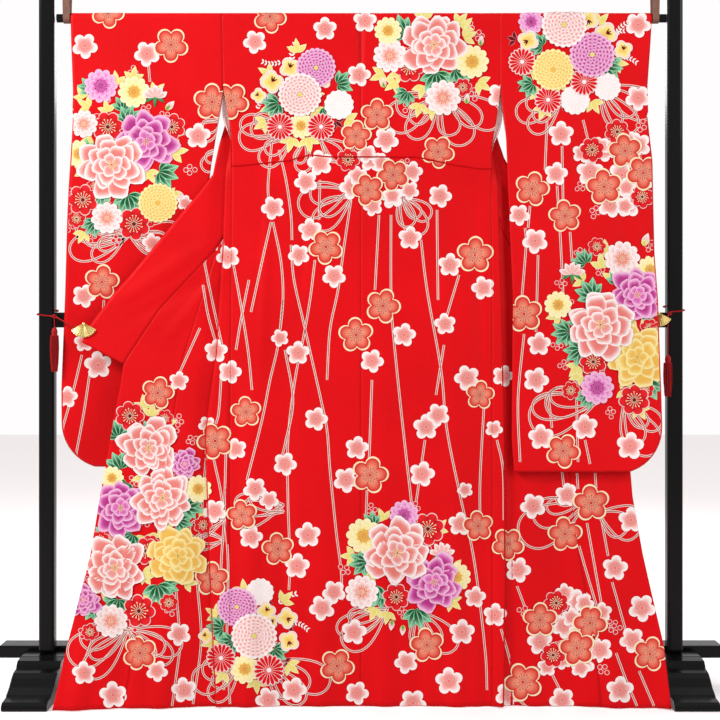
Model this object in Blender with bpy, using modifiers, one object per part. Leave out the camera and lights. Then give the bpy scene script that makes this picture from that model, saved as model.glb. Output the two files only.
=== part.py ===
"""Furisode kimono hung over the rod of a lacquered stand, its back towards the viewer.

Metres, +Z up. The origin lies on the floor under the middle of the rod. The back of the garment
faces -Y and the wearer's left is at -X. Each side is worked out in side coordinates: `out` is the
distance from the centre back seam, `depth` is the distance behind (+) or before (-) the plane of
the leaning cloth, and `z` is the height.
"""

import math
from collections import namedtuple

import bmesh
import bpy
import numpy as np
from mathutils import Vector

LEFT = -1
RIGHT = 1

# Cloth and seams
WALL = 0.0016
SEAM_GAP = 0.0003
ROLLED_SEAM_GAP = 0.0009
HEM_HEIGHT = 0.003

# Rod and the cloth round it
ROD_HEIGHT = 1.605
ROD_RADIUS = 0.0102
CLOTH_RADIUS = 0.0120
WRAP_STEPS = 5
ROD_LEFT_END = -0.729
ROD_RIGHT_END = 0.7315

# How far the hem is drawn forward of the rod, in the middle and at the sides
HEM_REACH = 0.168
HEM_REACH_SIDE = 0.044
REACH_OUT = 0.72
LEAN_POWER = 1.25
LEAN_POWER_SIDE = 0.60
POWER_OUT = 0.65

# Depths of the stacked layers before and behind the plane of the cloth
BACK_DEPTH = -0.0125
LAYER_STEP = 0.0040
TURN_BULGE = 0.0020
STRAIGHT_STEP = 0.0060
FOLD_TIGHT = 0.4
SETTLE_START = 0.02
SETTLE_END = 0.20

# Soft folds: share of their rise where they are at full depth, and how they widen upward
FOLD_FULL = 0.8
FOLD_WIDEN = 0.6

# Body lengths
NECK_OUT = 0.090
NECK_FOLD_OUT = 0.105
BODY_WIDTH = 0.242
ARM_SEAM_FOOT = 1.430
TURN_HEIGHT = 0.085
SLIT_GAPE = 0.013
LEAST_PLEAT = 0.010
EDGE_ON_SHARE = 0.85
SLEEVE_CLEAR = 0.0015
OPEN_START = 0.003
SLIT_EASE = 0.04
PLEAT_CLEAR = 0.004
OUTER_START = 0.35
LAYER_COLUMNS = 3
NECK_COLUMNS = 2
ROD_COLUMNS_START = 1.40
ROD_COLUMNS_FULL = 1.59

# Lining in the slits, as shares of the slit's height
LINING_WALL = 0.0010
LINING_GAP = 0.0006
LINING_REACH = 0.10
LINING_FOOT_SHARE = 0.60
LINING_TOP_SHARE = 0.80

# Collar
COLLAR_STEPS = 3
COLLAR_NECK_WIDTH = 0.055
NECK_DROOP = -70.0
NECK_FLARE = 18.0
NECK_PULL = 0.45

# Overlap panels
OKUMI_HEM_WIDTH = 0.155
OKUMI_COLLAR_WIDTH = 0.135
OKUMI_TIP_WIDTH = 0.004
OKUMI_TIP_CLOSE = 0.004
OKUMI_STEPS = 4

# Sleeves
SLEEVE_STEPS = 6
CORNER_RADIUS = 0.105
CORNER_ANGLES = (0, 25, 50, 72, 90)
EDGE_ROUND = 0.004
WRIST_FOOT = 1.366
FREE_BELOW = 1.24
REST_LEAN = 0.0205

# Stand
POST_OUT = 0.7513
POST_SIZE = 0.0375
POST_ROUND = 0.008
FOOT_OUT = 0.7540
FOOT_WIDTH = 0.103
LAND_HEIGHT = 0.0840
MID_RAIL_BOTTOM = 0.863
MID_RAIL_TOP = 0.899
MID_RAIL_DEPTH = 0.020
TOP_RAIL_BOTTOM = 1.735
TOP_RAIL_TOP = 1.770
TOP_RAIL_DEPTH = 0.042
TOP_RAIL_OUT = 0.815
LOW_BAR_OUT = 0.875
LOW_BAR_FRONT = 0.0190
LOW_BAR_BACK = 0.0850
LOW_BAR_BOTTOM = 0.0645
LOW_BAR_TOP = 0.0945
STRAP_WIDTH = 0.016
STRAP_THICKNESS = 0.0020
STRAP_SPARE = 0.0004
STRAP_CORNER = 0.003
STRAP_STEPS = 8
STRAP_LEFT_MIDDLE = -0.7045
STRAP_RIGHT_MIDDLE = 0.7060
CLEAR = 0.0003

# Clips, cords and tassels
CORD_RADIUS = 0.0020
FAN_RADIUS = 0.033
FAN_HUB = 0.006
FAN_SPREAD = 126.0
FAN_PLEATS = 11
FAN_WALL = 0.0012
PLEAT_RISE = 0.0008
CLIP_HEIGHT = 0.010
CLIP_REACH = 0.008
CLIP_ARM = 0.0012
CLIP_GRIP = 0.0008
CLIP_ROUND = 0.002
CLIP_TIP = 0.003
CORD_CLEAR = 0.0008
CORD_CORNER = 0.006
TASSEL_STRANDS = 24
STEM_RADIUS = 0.0012
HEAD_LENGTH = 0.020
STRAND_GAP = 0.00044
STRAND_UNEVEN = 0.03
STRAND_PHASE = 2.7
STRAND_STAGES = ((0.35, 1.22), (0.35, 1.10), (0.30, 1.02))

Side = namedtuple("Side", "column slit_foot open_depth open_reach")
Fold = namedtuple("Fold", "x top drift half_width depth")
CollarRow = namedtuple("CollarRow", "seam_out seam_z edge_out edge_z")
RollRow = namedtuple("RollRow", "z roll width")
SleeveCut = namedtuple("SleeveCut", "bottom outer_out inner front_depth rear_depth")

# Side edge of the back: height, distance from the centre back seam on the left and on the right
SIDE_EDGE = (
    (0.000, 0.2955, 0.2965),
    (0.580, 0.3035, 0.3045),
    (0.930, 0.3052, 0.3085),
    (1.240, 0.3060, 0.3096),
    (1.300, 0.3065, 0.3115),
    (1.360, 0.3145, 0.3240),
    (1.430, 0.3276, 0.3325),
    (1.606, 0.3320, 0.3330),
)

# Free front edge below the collar: height, distance from the centre on the left and on the right
FRONT_EDGE = (
    (0.000, 0.6910, 0.6985),
    (0.140, 0.6650, 0.6880),
    (0.340, 0.6196, 0.6500),
    (0.470, 0.6024, 0.6310),
    (0.663, 0.5735, 0.6210),
    (0.812, 0.5470, 0.6340),
)

# Visible width of the knife pleat beside the side seam: height, on the left and on the right
PLEAT = (
    (0.000, 0.030, 0.024),
    (0.300, 0.045, 0.028),
    (0.616, 0.056, 0.026),
    (0.800, 0.032, 0.022),
    (1.050, 0.018, 0.016),
    (1.250, 0.012, 0.012),
)

# Soft folds of the hanging cloth: place at the hem, height where the fold starts, sideways drift
# from the hem to the start, half width and depth at the hem, ridges negative and troughs positive
FOLDS = (
    Fold(-0.640, 0.72, 0.090, 0.038, -0.0070),
    Fold(-0.545, 0.66, 0.060, 0.036, 0.0060),
    Fold(-0.452, 0.95, 0.070, 0.040, -0.0080),
    Fold(-0.365, 0.80, 0.020, 0.034, 0.0050),
    Fold(-0.256, 1.16, 0.006, 0.034, -0.0075),
    Fold(-0.175, 1.02, -0.004, 0.030, 0.0055),
    Fold(-0.092, 0.70, 0.004, 0.034, -0.0045),
    Fold(0.056, 1.10, -0.008, 0.038, -0.0065),
    Fold(0.131, 0.62, 0.000, 0.032, 0.0045),
    Fold(0.217, 1.14, 0.004, 0.034, -0.0070),
    Fold(0.287, 0.98, 0.004, 0.028, 0.0055),
    Fold(0.392, 0.90, -0.030, 0.038, -0.0065),
    Fold(0.480, 0.74, -0.040, 0.036, 0.0050),
    Fold(0.575, 0.86, -0.060, 0.040, -0.0080),
    Fold(0.662, 0.60, -0.050, 0.034, 0.0055),
)

# Line of the waist tuck across the back: x and height
TUCK_LINE = (
    (-0.292, 1.246),
    (-0.173, 1.258),
    (-0.121, 1.272),
    (-0.073, 1.267),
    (0.131, 1.267),
    (0.221, 1.248),
    (0.283, 1.239),
)
TUCK_RISE = 0.0035
TUCK_FALL = 0.0024
TUCK_CREST = 0.003
TUCK_TOP = 0.018
TUCK_END = 1.24

# Collar of each side from its lower end up to the slit: seam point and edge point
COLLAR_LEFT = (
    CollarRow(0.5560, 0.777, 0.6565, 0.827),
    CollarRow(0.5418, 0.800, 0.6400, 0.865),
    CollarRow(0.5007, 0.863, 0.5840, 0.942),
    CollarRow(0.4733, 0.905, 0.5490, 0.980),
    CollarRow(0.4100, 0.973, 0.4860, 1.058),
    CollarRow(0.3432, 1.045, 0.4260, 1.133),
    CollarRow(0.3060, 1.105, 0.3780, 1.190),
    CollarRow(0.2710, 1.165, 0.3515, 1.226),
    CollarRow(0.2430, 1.245, 0.3386, 1.297),
    CollarRow(0.2280, 1.311, 0.3247, 1.353),
)
COLLAR_RIGHT = (
    CollarRow(0.6340, 0.812, 0.7190, 0.885),
    CollarRow(0.5780, 0.866, 0.6550, 0.947),
    CollarRow(0.5080, 0.935, 0.5850, 1.016),
    CollarRow(0.4400, 1.002, 0.5150, 1.084),
    CollarRow(0.3760, 1.066, 0.4500, 1.148),
    CollarRow(0.3260, 1.118, 0.3950, 1.201),
    CollarRow(0.2860, 1.163, 0.3580, 1.238),
    CollarRow(0.2550, 1.218, 0.3420, 1.268),
    CollarRow(0.2380, 1.255, 0.3310, 1.303),
    CollarRow(0.2260, 1.282, 0.3230, 1.335),
)
OKUMI_TIP = 5

# How the front edge rolls back behind the shoulder: height, roll of the front in degrees and
# width of the collar
ROLL = (
    RollRow(1.345, 177.0, 0.101),
    RollRow(1.385, 173.0, 0.096),
    RollRow(1.430, 165.0, 0.089),
    RollRow(1.475, 150.0, 0.080),
    RollRow(1.520, 124.0, 0.071),
    RollRow(1.555, 86.0, 0.064),
    RollRow(1.582, 42.0, 0.059),
)

BACK_LEVELS = (
    HEM_HEIGHT, 0.08, 0.17, 0.27, 0.37, 0.48, 0.59, 0.70, 0.81, 0.92, 1.03, 1.13, 1.20,
)
TUCK_LEVELS = (-0.018, -0.001, TUCK_CREST, TUCK_TOP)
SHOULDER_LEVELS = (1.30, 1.36, 1.43, 1.50, 1.56)
FRONT_LEVELS = (HEM_HEIGHT, 0.07, 0.15, 0.24, 0.34, 0.45, 0.56, 0.66, 0.72)

SIDES = {
    LEFT: Side(1, 1.311, -0.0105, 0.037),
    RIGHT: Side(2, 1.282, 0.0030, 0.019),
}
COLLARS = {LEFT: COLLAR_LEFT, RIGHT: COLLAR_RIGHT}

# Sleeve cuts: inner edge as height and distance from the centre back seam
SLEEVES = {
    LEFT: SleeveCut(
        0.531,
        ((0.53, 0.7130), (0.72, 0.7138), (0.94, 0.7051), (1.20, 0.6979), (1.337, 0.6907),
         (1.42, 0.6871), (1.55, 0.6925), (1.606, 0.6940)),
        ((0.53, 0.3660), (1.20, 0.3620), (1.25, 0.3560), (1.311, 0.3460), (1.374, 0.3372),
         (1.430, 0.3279)),
        -0.0035, 0.0075,
    ),
    RIGHT: SleeveCut(
        0.527,
        ((0.53, 0.7020), (0.71, 0.7030), (0.93, 0.7015), (1.04, 0.6957), (1.26, 0.6948),
         (1.36, 0.6860), (1.44, 0.6847), (1.54, 0.6923), (1.606, 0.6960)),
        ((0.53, 0.3540), (0.60, 0.3495), (0.93, 0.3572), (1.15, 0.3503), (1.25, 0.3470),
         (1.321, 0.3448), (1.430, 0.3328)),
        -0.0180, -0.0045,
    ),
}
SLEEVE_LEVELS = (0.70, 0.79, 0.88, 0.97, 1.06, 1.15, 1.22, 1.29, WRIST_FOOT, 1.43, 1.50, 1.56)


def clean_scene():
    """Take every object out of the scene."""
    for item in list(bpy.data.objects):
        bpy.data.objects.remove(item, do_unlink=True)


def make_material(name, colour, roughness, metallic=0.0):
    """Return a Principled material of one colour."""
    material = bpy.data.materials.new(name)
    material.use_nodes = True
    shader = material.node_tree.nodes["Principled BSDF"]
    shader.inputs["Base Color"].default_value = (*colour, 1.0)
    shader.inputs["Roughness"].default_value = roughness
    shader.inputs["Metallic"].default_value = metallic
    return material


def add_object(name, mesh, material):
    """Put a mesh in the part's collection under its node name."""
    item = bpy.data.objects.new(name, mesh)
    bpy.data.collections["furisode"].objects.link(item)
    item.data.materials.append(material)
    return item


def ramp(value, low, high):
    """Smooth step from 0 at low to 1 at high."""
    share = min(1.0, max(0.0, (value - low) / (high - low)))
    return share * share * (3.0 - 2.0 * share)


def read_table(table, at, column=1):
    """Read a table of rows by its first column, in straight lines between rows."""
    return float(np.interp(at, [row[0] for row in table], [row[column] for row in table]))


def mix(start, end, share):
    """Point between two points."""
    return tuple(a + (b - a) * share for a, b in zip(start, end))


# Form of the hanging cloth

def lean(x, z):
    """How far the cloth leans forward, from the rod down to the hem."""
    reach = HEM_REACH + HEM_REACH_SIDE * (x / REACH_OUT) ** 2
    power = LEAN_POWER + LEAN_POWER_SIDE * (x / POWER_OUT) ** 2
    return -reach * max(0.0, 1.0 - z / ROD_HEIGHT) ** power


def ripple(x, z):
    """Depth of the soft folds, which all layers of the cloth share."""
    total = 0.0
    for fold in FOLDS:
        rise = max(0.0, 1.0 - z / fold.top)
        middle = fold.x + fold.drift * (1.0 - rise)
        away = abs(x - middle) / (fold.half_width * (1.0 + FOLD_WIDEN * (1.0 - rise)))
        if away < 1.0:
            crest = 0.5 + 0.5 * math.cos(math.pi * away)
            total += fold.depth * ramp(rise, 0.0, FOLD_FULL) * crest
    return total


def hang(side, out, depth, z, most_lean=None):
    """World point of a place on one side of the cloth."""
    x = side * out
    forward = lean(x, z)
    if most_lean is not None:
        forward = max(forward, -most_lean)
        return (x, depth + forward, z)
    return (x, depth + forward + ripple(x, z), z)


def edge_out(side, z):
    """Distance of the back's side edge from the centre back seam."""
    return read_table(SIDE_EDGE, z, SIDES[side].column)


def front_edge_out(side, z):
    """Distance of the free front edge from the centre back seam."""
    return read_table(FRONT_EDGE, z, SIDES[side].column)


def back_depth(z):
    """Depth of the back, which leaves the rod and settles a little forward of it."""
    settled = ramp(ROD_HEIGHT - z, SETTLE_START, SETTLE_END)
    return -CLOTH_RADIUS + (BACK_DEPTH + CLOTH_RADIUS) * settled


# Fronts

def collar_tip_z(side):
    """Height where the overlap panel runs out under the collar."""
    return COLLARS[side][OKUMI_TIP].seam_z


def okumi_seam_out(side, z):
    """Distance of the seam between body and overlap panel from the centre."""
    end = COLLARS[side][0]
    tip = COLLARS[side][OKUMI_TIP]
    if z <= end.seam_z:
        width = OKUMI_HEM_WIDTH + (OKUMI_COLLAR_WIDTH - OKUMI_HEM_WIDTH) * z / end.seam_z
        return front_edge_out(side, z) - width
    share = (z - end.seam_z) / (tip.seam_z - end.seam_z)
    low = end.seam_out - OKUMI_COLLAR_WIDTH
    high = tip.seam_out - OKUMI_TIP_WIDTH
    return low + (high - low) * share


def collar_seam_out(side, z):
    """Distance of the collar seam from the centre, where the front is spread open."""
    rows = [(row.seam_z, row.seam_out) for row in COLLARS[side]]
    return read_table(rows, z)


def front_end_out(side, z):
    """Distance of the body front's inner cut edge from the centre."""
    if z < collar_tip_z(side) + 0.001:
        return okumi_seam_out(side, z)
    return collar_seam_out(side, z)


def turn_angle(side, z):
    """Turn of the strip beside the side edge: 0 hangs inward, 180 is folded out over the pleat."""
    foot = SIDES[side].slit_foot
    heights = (foot - TURN_HEIGHT, foot, ARM_SEAM_FOOT)
    return float(np.interp(z, heights, (180.0, 90.0, 0.0)))


def roll_angle(side, z):
    """Roll of the front's outer layer: 0 lies flat, 180 is folded right back."""
    rows = [(SIDES[side].slit_foot, 180.0)]
    rows += [(row.z, row.roll) for row in ROLL]
    rows.append((ROD_HEIGHT, 0.0))
    return read_table(rows, z)


def side_strip(side, z):
    """Start, end and far side of the narrow strip between side edge and pleat."""
    foot = SIDES[side].slit_foot
    share = min(1.0, max(0.0, (z - foot) / (ARM_SEAM_FOOT - foot)))
    gape = SLIT_GAPE * math.sin(math.pi * share)
    turn = math.radians(turn_angle(side, z))
    stand_off = SEAM_GAP + WALL * EDGE_ON_SHARE * math.sin(turn)
    out = edge_out(side, z) + gape + stand_off * (1.0 - share)
    if share > 0.0:
        out = min(out, sleeve_inner(side, z) - SLEEVE_CLEAR * (1.0 - share) - SEAM_GAP)
    depth = back_depth(z) + (CLOTH_RADIUS - back_depth(z)) * share
    width = read_table(PLEAT, z, SIDES[side].column)
    start = (out, depth)
    end = (out - width * math.cos(turn), depth + width * math.sin(turn))
    half = turn / 2.0
    beyond = (end[0] - STRAIGHT_STEP * math.cos(half), end[1] + LAYER_STEP * math.sin(half))
    bulge = TURN_BULGE * (turn / math.pi) ** 2
    crest = ((end[0] + beyond[0]) / 2.0 + bulge, (end[1] + beyond[1]) / 2.0)
    return start, end, crest, beyond


def fold_out(side, z, pleat_out):
    """Distance of the inner fold from the centre, from the cloth's own width."""
    foot = SIDES[side].slit_foot
    if z <= foot:
        width = BODY_WIDTH - read_table(PLEAT, z, SIDES[side].column)
        middle = (pleat_out + front_end_out(side, z) - width) / 2.0
        return min(pleat_out - LEAST_PLEAT, middle)
    low = fold_out(side, foot, side_strip(side, foot)[1][0])
    share = (z - foot) / (ROD_HEIGHT - foot)
    return low + (NECK_FOLD_OUT - low) * share


def open_depth(side, out, z, pleat_out, layer_depth):
    """Depth of the layer that leaves the pleat and spreads outward."""
    foot = SIDES[side].slit_foot
    risen = ramp(z, foot - TURN_HEIGHT, foot + SLIT_EASE)
    spread = SIDES[side].open_depth
    spread += (layer_depth - LAYER_STEP - spread) * risen
    start = pleat_out + OPEN_START
    return layer_depth + (spread - layer_depth) * ramp(out, start, start + SIDES[side].open_reach)


def fold_points(side, z):
    """The inner fold of a front at one height: before it, its crest, behind it and its roll."""
    end, beyond = side_strip(side, z)[1], side_strip(side, z)[3]
    out = fold_out(side, z, end[0])
    roll = math.radians(roll_angle(side, z))
    before = (out, beyond[1])
    half = roll / 2.0
    reach = STRAIGHT_STEP * FOLD_TIGHT
    behind = (out - reach * math.cos(half), beyond[1] + LAYER_STEP * math.sin(half))
    bulge = TURN_BULGE * (roll / math.pi) ** 2
    crest = ((before[0] + behind[0]) / 2.0 - bulge, (before[1] + behind[1]) / 2.0)
    return before, crest, behind, roll


def spread_depth(side, out, z):
    """Depth of the spread front, overlap panel or collar at a place."""
    pleat_out = side_strip(side, z)[1][0]
    layer = fold_points(side, z)[2][1]
    return open_depth(side, out, z, pleat_out, layer)


def front_row(side, z):
    """Level of a front from side edge to cut front edge, as (out, depth) pairs."""
    start, end, crest, beyond = side_strip(side, z)
    before, fold_crest, behind, roll = fold_points(side, z)
    row = [start, end, crest]
    row += [mix(beyond, before, step / LAYER_COLUMNS) for step in range(LAYER_COLUMNS + 1)]
    row += [fold_crest, behind]
    if z <= SIDES[side].slit_foot:
        last = front_end_out(side, z)
        first = min(end[0] + PLEAT_CLEAR, behind[0] + OUTER_START * (last - behind[0]))
        outs = [first + (last - first) * step / LAYER_COLUMNS for step in range(LAYER_COLUMNS + 1)]
        row += [(out, open_depth(side, out, z, end[0], behind[1])) for out in outs]
        return row
    used = read_table(PLEAT, z, SIDES[side].column) + end[0] - before[0]
    width = BODY_WIDTH - used - (before[0] - behind[0])
    far = (behind[0] - width * math.cos(roll), behind[1] + width * math.sin(roll))
    first = mix(behind, far, OUTER_START)
    return row + [mix(first, far, step / LAYER_COLUMNS) for step in range(LAYER_COLUMNS + 1)]


def body_rod_outs(side):
    """Distances of the body's columns from the centre where the cloth lies over the rod."""
    outs = [out for out, depth in front_row(side, ROD_HEIGHT)]
    outs[-1] = NECK_OUT
    neck = [NECK_OUT * (1.0 - step / NECK_COLUMNS) for step in range(1, NECK_COLUMNS + 1)]
    neck[-1] = SEAM_GAP / 2.0
    return outs + neck


def back_outs(side, z, rod_outs):
    """Distances of the back's columns, even below the shoulder and as on the rod above."""
    last = len(rod_outs) - 1
    even = [
        edge_out(side, z) + (SEAM_GAP / 2.0 - edge_out(side, z)) * step / last
        for step in range(last + 1)
    ]
    near_rod = ramp(z, ROD_COLUMNS_START, ROD_COLUMNS_FULL)
    return even[:1] + [a + (b - a) * near_rod for a, b in zip(even[1:], rod_outs[1:])]


def body_rows(side):
    """Rows of a body length: up the back, over the rod and down the front."""
    rod_outs = body_rod_outs(side)
    rows = []
    for z in BACK_LEVELS:
        outs = back_outs(side, z, rod_outs)
        rows.append([hang(side, out, back_depth(z), z) for out in outs])
    tuck_end = read_table(TUCK_LINE, side * edge_out(side, TUCK_END))
    for rise in TUCK_LEVELS:
        row = []
        for out in back_outs(side, tuck_end + rise, rod_outs):
            z = read_table(TUCK_LINE, side * out) + rise
            ridge = TUCK_RISE * ramp(rise, 0.0, TUCK_CREST)
            ridge -= TUCK_FALL * ramp(rise, TUCK_CREST, TUCK_TOP)
            row.append(hang(side, out, back_depth(z) - ridge, z))
        rows.append(row)
    for z in SHOULDER_LEVELS:
        outs = back_outs(side, z, rod_outs)
        rows.append([hang(side, out, back_depth(z), z) for out in outs])
    for step in range(WRAP_STEPS + 1):
        angle = math.pi * step / WRAP_STEPS
        depth = -CLOTH_RADIUS * math.cos(angle)
        z = ROD_HEIGHT + CLOTH_RADIUS * math.sin(angle)
        rows.append([hang(side, out, depth, z) for out in rod_outs])
    for z in reversed(front_levels(side)):
        rows.append([hang(side, out, depth, z) for out, depth in front_row(side, z)])
    return rows


def front_levels(side):
    """Heights of a front's rows, with one at each row of the collar."""
    rows = [row.seam_z for row in COLLARS[side]]
    rows.insert(OKUMI_TIP + 1, collar_tip_z(side) + OKUMI_TIP_CLOSE)
    return list(FRONT_LEVELS) + rows + [row.z for row in ROLL]


# Cloth meshes

def skin_mesh(name, rows):
    """Mesh of quads between rows of points, where a shorter row joins the start of a longer one."""
    mesh = bpy.data.meshes.new(name)
    build = bmesh.new()
    grid = [[build.verts.new(point) for point in row] for row in rows]
    for low, high in zip(grid, grid[1:]):
        for column in range(min(len(low), len(high)) - 1):
            build.faces.new((low[column], low[column + 1], high[column + 1], high[column]))
    bmesh.ops.recalc_face_normals(build, faces=build.faces)
    build.to_mesh(mesh)
    build.free()
    mesh.shade_smooth()
    return mesh


def add_wall(item, thickness=WALL):
    """Turn an open surface into a wall about its middle."""
    solid = item.modifiers.new("wall", "SOLIDIFY")
    solid.thickness = thickness
    solid.offset = 0.0
    solid.use_even_offset = False


def add_cloth(name, rows, material, thickness=WALL):
    """Add one cut piece of cloth as a wall through its rows of points."""
    item = add_object(name, skin_mesh(name, rows), material)
    add_wall(item, thickness)
    return item


def make_body(side, name, material):
    """Add one body length."""
    return add_cloth(name, body_rows(side), material)


def lining_row(side, z):
    """Places of the lining at one height, moved off the front's inner face."""
    start, end, crest, beyond = side_strip(side, z)
    turn = math.radians(turn_angle(side, z))
    off = WALL / 2.0 + LINING_GAP + LINING_WALL / 2.0
    tight = off / math.cos(turn / 2.0)
    inside = mix(beyond, fold_points(side, z)[0], LINING_REACH)
    return [
        hang(side, start[0] - off * math.sin(turn), start[1] - off * math.cos(turn), z),
        hang(side, end[0] - tight * math.sin(turn / 2.0), end[1] - tight * math.cos(turn / 2.0), z),
        hang(side, inside[0], inside[1] - off, z),
    ]


def make_lining(side, name, material):
    """Add the strip of lining that shows in the slit, on the front's inner face."""
    foot = lining_row(side, SIDES[side].slit_foot)
    first, second, third = [lining_row(side, cut.z) for cut in ROLL[:3]]
    rows = [
        [mix(low, high, LINING_FOOT_SHARE) for low, high in zip(foot, first)],
        first,
        second,
        [mix(low, high, LINING_TOP_SHARE) for low, high in zip(second, third)],
    ]
    return add_cloth(name, rows, material, LINING_WALL)


def make_okumi(side, name, material):
    """Add one overlap panel, from the hem to its tip under the collar."""
    levels = list(FRONT_LEVELS) + [row.seam_z for row in COLLARS[side][:OKUMI_TIP + 1]]
    rows = []
    for z in levels:
        inner = okumi_seam_out(side, z) + SEAM_GAP
        if z < COLLARS[side][0].seam_z - 0.001:
            outer = front_edge_out(side, z)
        else:
            outer = collar_seam_out(side, z) - SEAM_GAP
        row = []
        for step in range(OKUMI_STEPS + 1):
            out = inner + (outer - inner) * step / OKUMI_STEPS
            row.append(hang(side, out, spread_depth(side, out, z), z))
        rows.append(row)
    return add_cloth(name, rows, material)


def spread_collar_rows(side):
    """Rows of the collar where the front is spread, from its lower end up to the slit."""
    rows = []
    for cut in COLLARS[side]:
        seam = (cut.seam_out + SEAM_GAP, cut.seam_z)
        row = []
        for step in range(COLLAR_STEPS + 1):
            out, z = mix(seam, (cut.edge_out, cut.edge_z), step / COLLAR_STEPS)
            row.append(hang(side, out, spread_depth(side, out, z), z))
        rows.append(row)
    return rows


def rolled_collar_rows(side):
    """Rows of the collar behind the shoulder, each at right angles to the seam and flat with it."""
    seams = []
    ways = []
    for cut in ROLL:
        before, last = front_row(side, cut.z)[-2:]
        seams.append(np.array(hang(side, last[0], last[1], cut.z)))
        ways.append(seams[-1] - np.array(hang(side, before[0], before[1], cut.z)))
    top = COLLARS[side][-1]
    spread = spread_depth(side, top.seam_out, top.seam_z)
    low = np.array(hang(side, top.seam_out, spread, top.seam_z))
    high = np.array((side * NECK_OUT, CLOTH_RADIUS, ROD_HEIGHT))
    chain = [low] + seams + [high]
    rows = []
    for index, cut in enumerate(ROLL):
        along = chain[index + 2] - chain[index]
        along /= np.linalg.norm(along)
        way = ways[index] - along * float(np.dot(ways[index], along))
        way /= np.linalg.norm(way)
        row = []
        for step in range(COLLAR_STEPS + 1):
            reach = ROLLED_SEAM_GAP + cut.width * step / COLLAR_STEPS
            row.append(tuple(seams[index] + way * reach))
        rows.append(row)
    return rows


def neck_collar_rows():
    """Rows of the collar round the back of the neck, hanging behind the rod."""
    rows = []
    for share in (-1.0, -0.67, -0.33, 0.0, 0.33, 0.67, 1.0):
        side = LEFT if share < 0.0 else RIGHT
        out = NECK_OUT * abs(share)
        droop = math.radians(NECK_DROOP + NECK_FLARE * abs(share) ** 2)
        inward = -NECK_PULL * abs(share) ** 3
        row = []
        for step in range(COLLAR_STEPS + 1):
            reach = ROLLED_SEAM_GAP + COLLAR_NECK_WIDTH * step / COLLAR_STEPS
            depth = CLOTH_RADIUS + reach * math.cos(droop)
            z = ROD_HEIGHT + reach * math.sin(droop)
            row.append(hang(side, out + reach * inward, depth, z))
        rows.append(row)
    return rows


def make_collar(material):
    """Add the collar, one long band from the left corner round the neck to the right corner."""
    rows = spread_collar_rows(LEFT) + rolled_collar_rows(LEFT)
    rows += neck_collar_rows()
    rows += list(reversed(rolled_collar_rows(RIGHT))) + list(reversed(spread_collar_rows(RIGHT)))
    return add_cloth("collar", rows, material)


def sleeve_outline(side):
    """Levels of a sleeve from its bottom up, as (z, inner, outer), with a rounded outer corner."""
    cut = SLEEVES[side]
    outer = read_table(cut.outer_out, cut.bottom)
    levels = []
    for degrees in CORNER_ANGLES:
        angle = math.radians(degrees)
        z = cut.bottom + EDGE_ROUND + (CORNER_RADIUS - EDGE_ROUND) * (1.0 - math.cos(angle))
        levels.append((z, outer - CORNER_RADIUS + (CORNER_RADIUS - EDGE_ROUND) * math.sin(angle)))
    for z in SLEEVE_LEVELS:
        inset = EDGE_ROUND if z <= WRIST_FOOT else 0.0
        levels.append((z, read_table(cut.outer_out, z) - inset))
    return [(z, sleeve_inner(side, z), out) for z, out in levels]


def sleeve_inner(side, z):
    """Distance of a sleeve's inner edge from the centre, sewn to the body above the slit."""
    if z >= ARM_SEAM_FOOT:
        return edge_out(side, z) + SEAM_GAP
    return read_table(SLEEVES[side].inner, z)


def sleeve_depths(side, z):
    """Depths of a sleeve's back and front layers."""
    cut = SLEEVES[side]
    free = 1.0 - ramp(z, FREE_BELOW, ARM_SEAM_FOOT)
    front = back_depth(z) + (cut.front_depth - back_depth(z)) * free
    rear = CLOTH_RADIUS + (cut.rear_depth - CLOTH_RADIUS) * free
    return front, rear


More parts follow.
